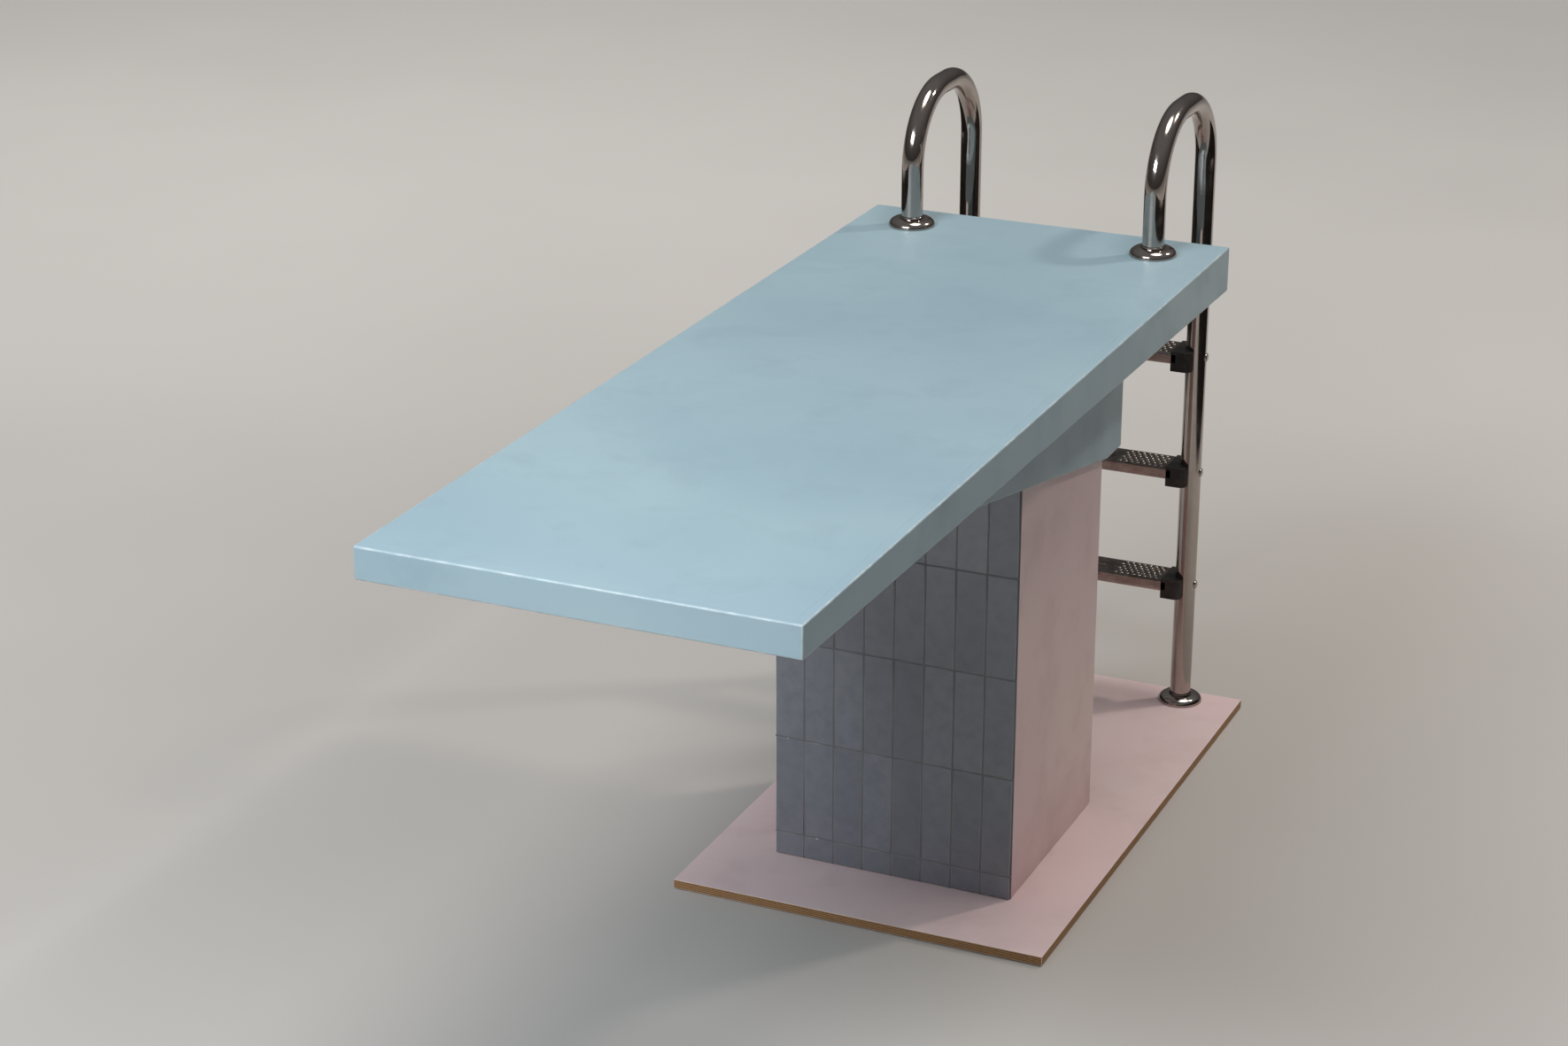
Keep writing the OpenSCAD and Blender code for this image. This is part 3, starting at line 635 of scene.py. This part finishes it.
def spun_sheet():
    """Spun stainless sheet, buffed: rings from the spinning tool, and a bright dome.
    Its colour is darker and warmer than bare steel, as a painted reflection of a
    dark, warm room.
    """
    made, tree, shader, place = new_finish("spun_stainless_darkened_as_painted_reflection", 0.13, metallic=1.0)
    smear = put(tree, "ShaderNodeTexNoise", {"Vector": place, "Scale": 45.0, "Detail": 5.0})
    # darker, warmer steel colours: a painted reflection of a dark, warm room
    tint = put(tree, "ShaderNodeMix", {
        0: smear, MIX_A: colour("#bbb3ad"), MIX_B: colour("#9a908a")}, data_type="RGBA")
    dull = put(tree, "ShaderNodeMapRange", {
        "Value": smear, "From Min": 0.4, "From Max": 0.7, "To Min": 0.09, "To Max": 0.22})
    lathe = put(tree, "ShaderNodeTexNoise", {
        "Vector": put(tree, "ShaderNodeCombineXYZ", {
            "X": put(tree, "ShaderNodeSeparateXYZ", {"Vector": place}).outputs["Z"]}),
        "Scale": 900.0, "Detail": 2.0})
    bump = put(tree, "ShaderNodeBump", {"Strength": 0.15, "Distance": 0.0002, "Height": lathe})
    feed(tree, shader, {"Base Color": tint, "Roughness": dull, "Normal": bump})
    return made


spun = spun_sheet()
arc = quarter(14)
BORE_R, NECK_R, NECK_H = 0.02158, 0.0245, 0.003
LIP_H, WALL, COLLAR_H = 0.002, 0.0015, 0.005
SOFT, NECK_SOFT = 0.0006, 0.0008
COVERS = ("cover_deck_left", "cover_deck_right", "cover_base_left", "cover_base_right")
for cover in COVERS:
    low, high = corners(cover)
    rim_r, tall = (high.x - low.x) / 2, high.z - low.z
    dome_h = tall - LIP_H - NECK_H
    outline = [(rim_r - SOFT, 0.0), (rim_r, SOFT)]
    outline += [(NECK_R + (rim_r - NECK_R) * math.cos(a), LIP_H + dome_h * math.sin(a)) for a in arc]
    outline += [(NECK_R, tall - NECK_SOFT), (NECK_R - NECK_SOFT, tall)]
    outline += [(BORE_R + SOFT, tall), (BORE_R, tall - SOFT), (BORE_R, tall - COLLAR_H)]
    outline += [
        (NECK_R - WALL + (rim_r - NECK_R) * math.cos(a), (tall - COLLAR_H) * math.sin(a))
        for a in reversed(arc)
    ]
    centre = ((low.x + high.x) / 2, (low.y + high.y) / 2, low.z)
    dome = placed(cover + "_spun", turned(cover, outline, spun, centre=centre))
    stands_for(dome, cover)


# ----------------------------------------------------------------- the treads
# Three treads are pressed from 1.6 mm stainless sheet. Each has rolled lips
# along both long edges, two sunk panels with a drain slot between them, and a
# field of raised studs at each end for grip.

def pressed_sheet():
    """Bright annealed 304 sheet after pressing: satin, drawn along its length. Its
    colour is darker and warmer than bare steel, as a painted reflection of a dark,
    warm room. Lips and studs keep the paler steel, and the field between them,
    which carries the attribute field, is darkened to a dark brown."""
    made, tree, shader, place = new_finish("pressed_stainless_darkened_as_painted_reflection", 0.24, metallic=1.0)
    drawn = put(tree, "ShaderNodeMapping", {"Vector": place, "Scale": (5.0, 520.0, 520.0)})
    grain = put(tree, "ShaderNodeTexNoise", {"Vector": drawn, "Scale": 1.0, "Detail": 4.0})
    grime = put(tree, "ShaderNodeTexNoise", {
        "Vector": place, "Scale": 30.0, "Detail": 7.0, "Roughness": 0.65})
    # darker, warmer steel colours: a painted reflection of a dark, warm room
    tint = put(tree, "ShaderNodeMix", {
        0: put(tree, "ShaderNodeMapRange", {"Value": grime, "From Min": 0.42, "From Max": 0.74}),
        MIX_A: colour("#bab1aa"), MIX_B: colour("#978d86")}, data_type="RGBA")
    # the field between lips and studs is darkened to a dark brown; lips and studs keep the paler steel
    field_dark_share = put(tree, "ShaderNodeMath", {
        0: put(tree, "ShaderNodeAttribute", attribute_name="field").outputs["Fac"],
        1: put(tree, "ShaderNodeMapRange", {
            "Value": grime, "From Min": 0.3, "From Max": 0.65, "To Min": 0.5, "To Max": 0.9})},
        operation="MULTIPLY")
    field_darkened = put(tree, "ShaderNodeMix", {
        0: field_dark_share, MIX_A: tint, MIX_B: colour("#4a413c")}, data_type="RGBA")
    dull = put(tree, "ShaderNodeMapRange", {
        "Value": grain, "From Min": 0.3, "From Max": 0.7, "To Min": 0.2, "To Max": 0.32})
    duller = put(tree, "ShaderNodeMath", {0: field_dark_share, 1: 0.16, 2: dull}, operation="MULTIPLY_ADD")
    bump = put(tree, "ShaderNodeBump", {"Strength": 0.2, "Distance": 0.0002, "Height": grain})
    feed(tree, shader, {"Base Color": field_darkened, "Roughness": duller, "Normal": bump})
    return made


def tread_sheet(low, high):
    """The pressed sheet as a thin shell: across it runs a section with rolled lips,
    and along it the section sinks into the two panels."""
    half_l, half_d, tall = (high.x - low.x) / 2, (high.y - low.y) / 2, high.z - low.z
    roll, thick, sunk = 0.004, 0.0016, 0.0022
    panel_x, panel_in, panel_out, slope = 0.088, 0.006, 0.031, 0.003
    slot_x, slot_y = 0.073, 0.003
    turn = quarter(4)
    side = [(half_d - roll * 1.8, -tall)]
    side += [(half_d - roll + roll * math.cos(a), -tall + roll - roll * math.sin(a)) for a in reversed(turn)]
    side += [(half_d - roll + roll * math.cos(a), -roll + roll * math.sin(a)) for a in turn]
    top_y = [panel_out, panel_out - slope, panel_in + slope, panel_in, slot_y]
    half = side + [(y, 0.0) for y in top_y]
    section = half + [(-y, z) for y, z in reversed(half)]
    stations = [half_l, panel_x, panel_x - slope, slot_x]
    stations = [-x for x in stations] + [x for x in reversed(stations)]
    middle = (low + high) / 2

    def sink(x, y, z):
        in_panel = abs(x) < panel_x - slope / 2 and panel_in + slope / 2 < abs(y) < panel_out - slope / 2
        return z - sunk if z > -1e-9 and in_panel else z

    verts = [(middle.x + x, middle.y + y, high.z + sink(x, y, z)) for x in stations for y, z in section]
    width = len(section)
    faces = []
    for i in range(len(stations) - 1):
        for j in range(width - 1):
            over_slot = abs(stations[i]) <= slot_x and abs(stations[i + 1]) <= slot_x
            if over_slot and abs(section[j][0]) <= slot_y and abs(section[j + 1][0]) <= slot_y:
                continue
            a, b = i * width + j, (i + 1) * width + j
            faces.append((a, b, b + 1, a + 1))
    mesh = bpy.data.meshes.new("tread_sheet")
    mesh.from_pydata(verts, [], faces)
    shape = bmesh.new()
    shape.from_mesh(mesh)
    bmesh.ops.recalc_face_normals(shape, faces=shape.faces)
    top = max(shape.faces, key=lambda f: f.calc_center_median().z)
    if top.normal.z < 0:
        bmesh.ops.reverse_faces(shape, faces=shape.faces)
    bmesh.ops.solidify(shape, geom=shape.faces, thickness=thick)
    field = shape.faces.layers.float.new("field")
    for face in shape.faces:
        face.smooth = True
        flat_top = face.normal.z > 0.5 and face.calc_center_median().z > high.z - 2 * sunk
        face[field] = 1.0 if flat_top else 0.0
    shape.to_mesh(mesh)
    shape.free()
    mesh.set_sharp_from_angle(angle=math.radians(28))
    return mesh


sheet_steel = pressed_sheet()
TREADS = ("tread_lower", "tread_middle", "tread_upper")
STUD_R, STUD_H, STUD_SUNK = 0.0046, 0.0017, 0.0006
STUD_ROWS, STUD_COLUMNS = 6, 8
ROW_PITCH, COLUMN_PITCH = 0.0118, 0.0128
FIRST_STUD, LAST_MARGIN = 0.106, 0.016
stud_outline = [(0.0, -STUD_SUNK), (STUD_R, -STUD_SUNK)]
stud_outline += [(STUD_R * math.cos(a), STUD_H * math.sin(a)) for a in quarter(4)]
for tread in TREADS:
    low, high = corners(tread)
    middle = (low + high) / 2
    sheet_mesh = tread_sheet(low, high)
    sheet_mesh.materials.append(sheet_steel)
    sheet = placed(tread + "_sheet", sheet_mesh)
    spots = []
    for row in range(STUD_ROWS):
        y = middle.y + (row - (STUD_ROWS - 1) / 2) * ROW_PITCH
        for column in range(STUD_COLUMNS):
            x = FIRST_STUD + column * COLUMN_PITCH + (COLUMN_PITCH / 2 if row % 2 else 0.0)
            if x < high.x - middle.x - LAST_MARGIN:
                spots += [((middle.x + x, y, high.z), (0, 0, 0)), ((middle.x - x, y, high.z), (0, 0, 0))]
    stud = turned("stud", stud_outline, None, sides=10)
    studs = laid_out(tread + "_studs", stud, spots, sheet_steel)
    stands_for(joined(tread + "_pressed", [sheet, studs], sheet_steel), tread)


# ---------------------------------------------------------------- tread ends
# Black glass-filled nylon mouldings carry each tread. A moulding cups the inner
# half of the tube, holds the tread's end in a pocket, and takes the cross bolt.

def moulded_nylon():
    """Glass-filled nylon straight from the mould: charcoal, spark-eroded texture, a
    faint grey bloom, and edges rubbed paler."""
    made, tree, shader, place = new_finish("glass_filled_nylon", 0.48)
    texture = put(tree, "ShaderNodeTexNoise", {"Vector": place, "Scale": 520.0, "Detail": 3.0})
    bloom = put(tree, "ShaderNodeTexNoise", {"Vector": place, "Scale": 38.0, "Detail": 5.0})
    tone = put(tree, "ShaderNodeMix", {
        0: put(tree, "ShaderNodeMapRange", {"Value": bloom, "From Min": 0.4, "From Max": 0.75}),
        MIX_A: colour("#1b1817"), MIX_B: colour("#3a3431")}, data_type="RGBA")
    rim = put(tree, "ShaderNodeAttribute", attribute_name="arris")
    rubbed = put(tree, "ShaderNodeMix", {
        0: put(tree, "ShaderNodeMath", {0: rim.outputs["Fac"], 1: 0.45}, operation="MULTIPLY"),
        MIX_A: tone, MIX_B: colour("#4d4743")}, data_type="RGBA")
    bump = put(tree, "ShaderNodeBump", {"Strength": 0.5, "Distance": 0.0003, "Height": texture})
    feed(tree, shader, {"Base Color": rubbed, "Normal": bump})
    return made


def end_moulding(side, rail_x, tread_end, low, high, finish):
    """One moulding: its plan outline, with the cup for the tube, drawn up to its
    height and rounded over. It laps 10 mm on to the tread."""
    tube_gap, lap, corner, arris = 0.0217, 0.010, 0.014, 0.0022
    half_d, middle_y = (high.y - low.y) / 2, (low.y + high.y) / 2
    inner = tread_end - lap
    round_off = quarter(6)
    plan = [(inner, -half_d)]
    plan += [
        (rail_x - corner + corner * math.sin(a), -half_d + corner - corner * math.cos(a))
        for a in round_off
    ]
    cup = [math.pi * (0.5 + i / 24) for i in range(25)]
    plan += [(rail_x + tube_gap * math.cos(a), -tube_gap * math.sin(a)) for a in cup]
    plan += [
        (rail_x - corner + corner * math.sin(a), half_d - corner + corner * math.cos(a))
        for a in reversed(round_off)
    ]
    plan += [(inner, half_d)]
    shape = bmesh.new()
    floor = [shape.verts.new((side * x, middle_y + y, low.z)) for x, y in plan]
    ring = shape.faces.new(floor)
    lifted = bmesh.ops.extrude_face_region(shape, geom=[ring])
    for v in lifted["geom"]:
        if isinstance(v, bmesh.types.BMVert):
            v.co.z = high.z
    bmesh.ops.recalc_face_normals(shape, faces=shape.faces)
    rim = shape.faces.layers.float.new("arris")
    edges = [
        e for e in shape.edges
        if e.calc_face_angle() > math.radians(40)
        and min(math.hypot(abs(v.co.x) - rail_x, v.co.y - middle_y) for v in e.verts) > tube_gap + 1e-4
    ]
    strips = bmesh.ops.bevel(
        shape, geom=edges, offset=arris, segments=3, profile=0.5, affect="EDGES", clamp_overlap=True)
    for face in strips["faces"]:
        face[rim] = 1.0
        face.smooth = True
    return placed("end_moulding", settled("end_moulding", shape, finish))


nylon = moulded_nylon()
rail_low, rail_high = corners("rail_right")
rail_x = (rail_low.x + rail_high.x) / 2
for tread in TREADS:
    tread_end = corners(tread)[1].x
    low, high = corners(tread + "_ends")
    pair = [end_moulding(side, rail_x, tread_end, low, high, nylon) for side in (-1, 1)]
    stands_for(joined(tread + "_mouldings", pair, nylon), tread + "_ends")


# ------------------------------------------------------- bolts and their caps
# A plated M8 bolt runs through each rail into the moulding. A low stainless cap is
# pressed over its head and buffed with the tube, so it hardly shows.

CAP_R, CAP_RIM, CAP_FLAT, CAP_H, CAP_SUNK = 0.0085, 0.0014, 0.0040, 0.0034, 0.003
cap_outline = [(0.0, -CAP_SUNK), (CAP_R, -CAP_SUNK)]
cap_outline += [
    (CAP_FLAT + (CAP_R - CAP_FLAT) * math.cos(a), CAP_RIM + (CAP_H - CAP_RIM) * math.sin(a))
    for a in quarter(6)
]
cap_outline.append((0.0, CAP_H))
outer_x = rail_x + tube_r
leg_y = rail_high.y - tube_r
BOLT_DROP = 0.013
spots = []
for tread in TREADS:
    bolt_z = corners(tread)[1].z - BOLT_DROP
    for side in (-1, 1):
        spots.append(((side * outer_x, leg_y, bolt_z), (0, side * math.pi / 2, 0)))
cap = turned("cap", cap_outline, None, sides=36)
caps = laid_out("bolt_caps_pressed", cap, spots, spun, spin=3.0, seed=3)
stands_for(caps, "tread_bolt_caps")


# ------------------------------------------------------ screws that are seen
# Bright zinc-plated screws with a cross recess hold the tower's rear skin and
# the four ladder anchors. Their heads sit flush in countersinks.

def zinc_plate():
    """Bright zinc on mild steel: bluish, softly spangled, dulled by handling."""
    made, tree, shader, place = new_finish("bright_zinc_plate", 0.34, metallic=1.0)
    spangle = put(tree, "ShaderNodeTexVoronoi", {"Vector": place, "Scale": 260.0})
    cloud = put(tree, "ShaderNodeTexNoise", {"Vector": place, "Scale": 60.0, "Detail": 4.0})
    tone = put(tree, "ShaderNodeMix", {
        0: cloud, MIX_A: colour("#b9bdc1"), MIX_B: colour("#8f9193")}, data_type="RGBA")
    dull = put(tree, "ShaderNodeMapRange", {
        "Value": spangle, "From Max": 0.8, "To Min": 0.26, "To Max": 0.48})
    feed(tree, shader, {"Base Color": tone, "Roughness": dull})
    return made


def cross_screw(head_r, shank_r, length):
    """A countersunk screw with a cross recess, its head flush with z = 0 and its
    shank pointing down."""
    sides = 24
    arm, half, deep, taper = head_r * 0.56, head_r * 0.13, head_r * 0.4, 0.7
    shape = bmesh.new()

    def ring(radius, height):
        turns = [2 * math.pi * i / sides for i in range(sides)]
        return [shape.verts.new((radius * math.cos(a), radius * math.sin(a), height)) for a in turns]

    def wall(upper, lower):
        for i in range(len(upper)):
            j = (i + 1) % len(upper)
            shape.faces.new((upper[i], upper[j], lower[j], lower[i]))

    plan = []
    for c, s in ((1, 0), (0, 1), (-1, 0), (0, -1)):
        plan += [(x * c - y * s, x * s + y * c) for x, y in ((half, -half), (arm, -half), (arm, half))]
    rim = ring(head_r, 0)
    cross = [shape.verts.new((x, y, 0)) for x, y in plan]
    pit = [shape.verts.new((x * taper, y * taper, -deep)) for x, y in plan]
    flat = []
    for loop in (rim, cross):
        flat += [shape.edges.new((loop[i], loop[(i + 1) % len(loop)])) for i in range(len(loop))]
    bmesh.ops.triangle_fill(shape, edges=flat, use_beauty=True)
    wall(cross, pit)
    shape.faces.new(pit)
    neck, point = ring(shank_r, shank_r - head_r), ring(shank_r, -length)
    wall(rim, neck)
    wall(neck, point)
    shape.faces.new(point)
    bmesh.ops.recalc_face_normals(shape, faces=shape.faces)
    return settled("cross_screw", shape)


bright_zinc = zinc_plate()
low, high = corners("rear_panel_screws")
SKIN_HEAD_R = 0.005
SKIN_ROWS = 4
PROUD = 0.0001  # the heads stand this far off their node's plane, so that the two don't flicker
row_pitch = (high.z - low.z - 2 * SKIN_HEAD_R) / (SKIN_ROWS - 1)
rows = [low.z + SKIN_HEAD_R + i * row_pitch for i in range(SKIN_ROWS)]
spots = [
    ((side * (high.x - SKIN_HEAD_R), high.y - PROUD, z), (-math.pi / 2, 0, 0))
    for side in (-1, 1) for z in rows
]
skin_screws = laid_out(
    "rear_skin_screws", cross_screw(head_r=SKIN_HEAD_R, shank_r=0.0025, length=0.040), spots,
    bright_zinc, spin=1.4, seed=21)
stands_for(skin_screws, "rear_panel_screws")

ANCHOR_RING_R = 0.031
seats = []
for cover in COVERS:
    low, high = corners(cover)
    for turn in (90, 210, 330):
        a = math.radians(turn)
        seats.append(((
            (low.x + high.x) / 2 + ANCHOR_RING_R * math.cos(a),
            (low.y + high.y) / 2 + ANCHOR_RING_R * math.sin(a),
            low.z + ANCHOR_FLANGE_T + PROUD), (0, 0, 0)))
anchor_screws = laid_out(
    "anchor_screws_driven", cross_screw(head_r=0.004, shank_r=0.002, length=0.015), seats,
    bright_zinc, spin=1.4, seed=5)
stands_for(anchor_screws, "anchor_screws")


# ----------------------------------------------------- hidden steel and frame
# Plated bolts, nuts and angles tie tower, beam and board together. The frame
# inside is planed softwood, and the ballast is plain cast concrete block.

for hidden in (
        "base_screws", "beam_bolts", "beam_nuts", "board_brackets", "board_bolts", "deck_anchors",
        "base_anchors", "tread_bolts"):
    refinish(hidden, bright_zinc)


def planed_pine(name, grain_scale):
    """Planed redwood: growth rings drawn out along the timber, with darker late wood."""
    made, tree, shader, place = new_finish(name, 0.55)
    drawn = put(tree, "ShaderNodeMapping", {"Vector": place, "Scale": grain_scale})
    ring = put(tree, "ShaderNodeTexNoise", {
        "Vector": drawn, "Scale": 1.0, "Detail": 5.0, "Roughness": 0.55, "Distortion": 0.8})
    late = put(tree, "ShaderNodeMapRange", {"Value": ring, "From Min": 0.46, "From Max": 0.6})
    tone = put(tree, "ShaderNodeMix", {
        0: late, MIX_A: colour("#d6b582"), MIX_B: colour("#a9743f")}, data_type="RGBA")
    bump = put(tree, "ShaderNodeBump", {"Strength": 0.3, "Distance": 0.0004, "Height": ring})
    feed(tree, shader, {"Base Color": tone, "Normal": bump})
    return made


upright_pine = planed_pine("planed_pine_upright", (110.0, 110.0, 3.0))
cross_pine = planed_pine("planed_pine_across", (3.0, 110.0, 110.0))
long_pine = planed_pine("planed_pine_lengthwise", (110.0, 3.0, 110.0))
for timbers, pine in (
        ("tower_posts", upright_pine), ("beam_ribs", cross_pine), ("beam_nose_block", cross_pine),
        ("board_joists", long_pine), ("board_noggins", cross_pine)):
    stands_for(eased(timbers, 0.0015, pine, segments=2, shortest=0.02), timbers)
for ring in ("tower_bottom_rails", "tower_mid_rails", "tower_head_rails"):
    refinish(ring, cross_pine)


def cast_concrete():
    """Dense concrete block: grey, pitted, with pale aggregate."""
    made, tree, shader, place = new_finish("cast_concrete_block", 0.95)
    pits = put(tree, "ShaderNodeTexVoronoi", {"Vector": place, "Scale": 120.0})
    cloud = put(tree, "ShaderNodeTexNoise", {"Vector": place, "Scale": 22.0, "Detail": 8.0})
    tone = put(tree, "ShaderNodeMix", {
        0: cloud, MIX_A: colour("#7d7a74"), MIX_B: colour("#a9a59c")}, data_type="RGBA")
    bump = put(tree, "ShaderNodeBump", {"Strength": 0.8, "Distance": 0.002, "Height": pits})
    feed(tree, shader, {"Base Color": tone, "Normal": bump})
    return made


stands_for(eased("ballast_blocks", 0.003, cast_concrete(), segments=2), "ballast_blocks")


# ------------------------------------------------------- floor, light, camera
# A plain pale floor, a warm key from behind on the ladder side, a broad soft
# fill from the tip's side, an even ceiling light, and a pale room that darkens
# to the horizon.

def studio_floor():
    """Seamless pale floor with a faint unevenness."""
    made, tree, shader, place = new_finish("pale_studio_floor", 0.6)
    cloud = put(tree, "ShaderNodeTexNoise", {"Vector": place, "Scale": 0.8, "Detail": 2.0})
    tone = put(tree, "ShaderNodeMix", {
        0: cloud, MIX_A: colour("#bab7b3"), MIX_B: colour("#c4c1bd")}, data_type="RGBA")
    feed(tree, shader, {"Base Color": tone})
    return made


floor_mesh = bpy.data.meshes.new("studio_floor")
reach = 90.0
floor_mesh.from_pydata(
    [(-reach, -reach, 0), (reach, -reach, 0), (reach, reach, 0), (-reach, reach, 0)], [], [(0, 1, 2, 3)])
floor_mesh.materials.append(studio_floor())
placed("studio_floor", floor_mesh)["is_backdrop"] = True

low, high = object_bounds()
aim = (low + high) / 2


def looking(direction):
    """How a lamp or camera is turned to look in a direction."""
    return Vector(direction).to_track_quat("-Z", "Y").to_euler()


def soft_light(name, direction, distance, size, power, tint):
    """An area light that faces the middle of the object."""
    lamp = bpy.data.lights.new(name, "AREA")
    lamp.shape = "RECTANGLE"
    lamp.size, lamp.size_y = size
    lamp.energy = power
    lamp.color = colour(tint)[:3]
    holder = placed(name, lamp)
    holder.location = aim + Vector(direction).normalized() * distance
    holder.rotation_euler = looking(aim - holder.location)


soft_light("key_behind", (0.46, 0.58, 0.70), 4.6, (0.3, 0.3), 40.0, "#fff1e6")
soft_light("fill_front", (-0.26, -0.82, 0.74), 5.0, (2.4, 1.2), 160.0, "#f3f9ff")

# the ceiling light is so wide and far that it falls evenly on the whole floor
ceiling = bpy.data.lights.new("ceiling", "SUN")
ceiling.energy = 1.1
ceiling.angle = math.radians(28)
ceiling.color = colour("#fffaf4")[:3]
placed("ceiling", ceiling).rotation_euler = looking((-0.16, -0.08, -1.0))

# four more lamps hang over the object and face away from it, to keep the floor pale
WASH_AWAY, WASH_UP, WASH_OUT, WASH_DOWN = 4.0, 5.5, 0.85, 0.53
for side in range(4):
    a = math.pi / 4 + side * math.pi / 2
    lamp = bpy.data.lights.new("floor_wash", "AREA")
    lamp.shape = "DISK"
    lamp.size = 2.0
    lamp.energy = 260.0
    holder = placed("floor_wash", lamp)
    holder.location = (WASH_AWAY * math.cos(a), WASH_AWAY * math.sin(a), WASH_UP)
    holder.rotation_euler = looking((WASH_OUT * math.cos(a), WASH_OUT * math.sin(a), -WASH_DOWN))
    holder.visible_camera = False

# a dark card hangs low on each side, unseen by the camera: it holds back the floor's
# light from the sides and draws dark lines in the tubes
card_finish, card_shader = new_finish("black_card", 0.9)[::2]
card_shader.inputs["Base Color"].default_value = colour("#2a2725")
CARD_AWAY, CARD_LOW, CARD_HIGH, CARD_FRONT, CARD_REAR = 1.35, 0.16, 0.9, -2.0, 2.2
for side in (-1, 1):
    card_mesh = bpy.data.meshes.new("dark_card")
    card_mesh.from_pydata([
        (side * CARD_AWAY, CARD_FRONT, CARD_LOW), (side * CARD_AWAY, CARD_REAR, CARD_LOW),
        (side * CARD_AWAY, CARD_REAR, CARD_HIGH), (side * CARD_AWAY, CARD_FRONT, CARD_HIGH)],
        [], [(0, 1, 2, 3)])
    card_mesh.materials.append(card_finish)
    card = placed("dark_card", card_mesh)
    card.visible_camera = False
    card.visible_shadow = False
    card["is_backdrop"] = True

room = bpy.data.worlds.new("pale_room")
room.use_nodes = True
sky = room.node_tree
up = put(sky, "ShaderNodeSeparateXYZ", {
    "Vector": put(sky, "ShaderNodeTexCoord").outputs["Generated"]}).outputs["Z"]
shade = put(sky, "ShaderNodeMapRange", {"Value": up, "From Min": -0.1, "From Max": 0.75})
glow = put(sky, "ShaderNodeMix", {
    0: shade, MIX_A: colour("#756b62"), MIX_B: colour("#ffffff")}, data_type="RGBA")
# what stands behind the object is a plain backdrop, which goes on from the far floor
backdrop = put(sky, "ShaderNodeMix", {
    0: put(sky, "ShaderNodeMapRange", {"Value": up, "From Max": 0.35}),
    MIX_A: colour("#8b8884"), MIX_B: colour("#d6d3cf")}, data_type="RGBA")
straight = put(sky, "ShaderNodeLightPath").outputs["Is Camera Ray"]
seen = put(sky, "ShaderNodeMix", {0: straight, MIX_A: glow, MIX_B: backdrop}, data_type="RGBA")
strength = put(sky, "ShaderNodeMapRange", {"Value": straight, "To Min": 0.2, "To Max": 1.0})
feed(sky, sky.nodes["Background"], {"Color": seen, "Strength": strength})
scene.world = room
scene.view_settings.view_transform = "Standard"

eye = bpy.data.cameras.new("eye")
eye.sensor_width = 36.0
eye.lens = 76.0
camera = placed("eye", eye)
camera.location = (2.112, -5.089, 2.936)
centre_of_view = aim + Vector((-0.15, -0.06, 0.09))
camera.rotation_euler = looking(centre_of_view - camera.location)
scene.camera = camera
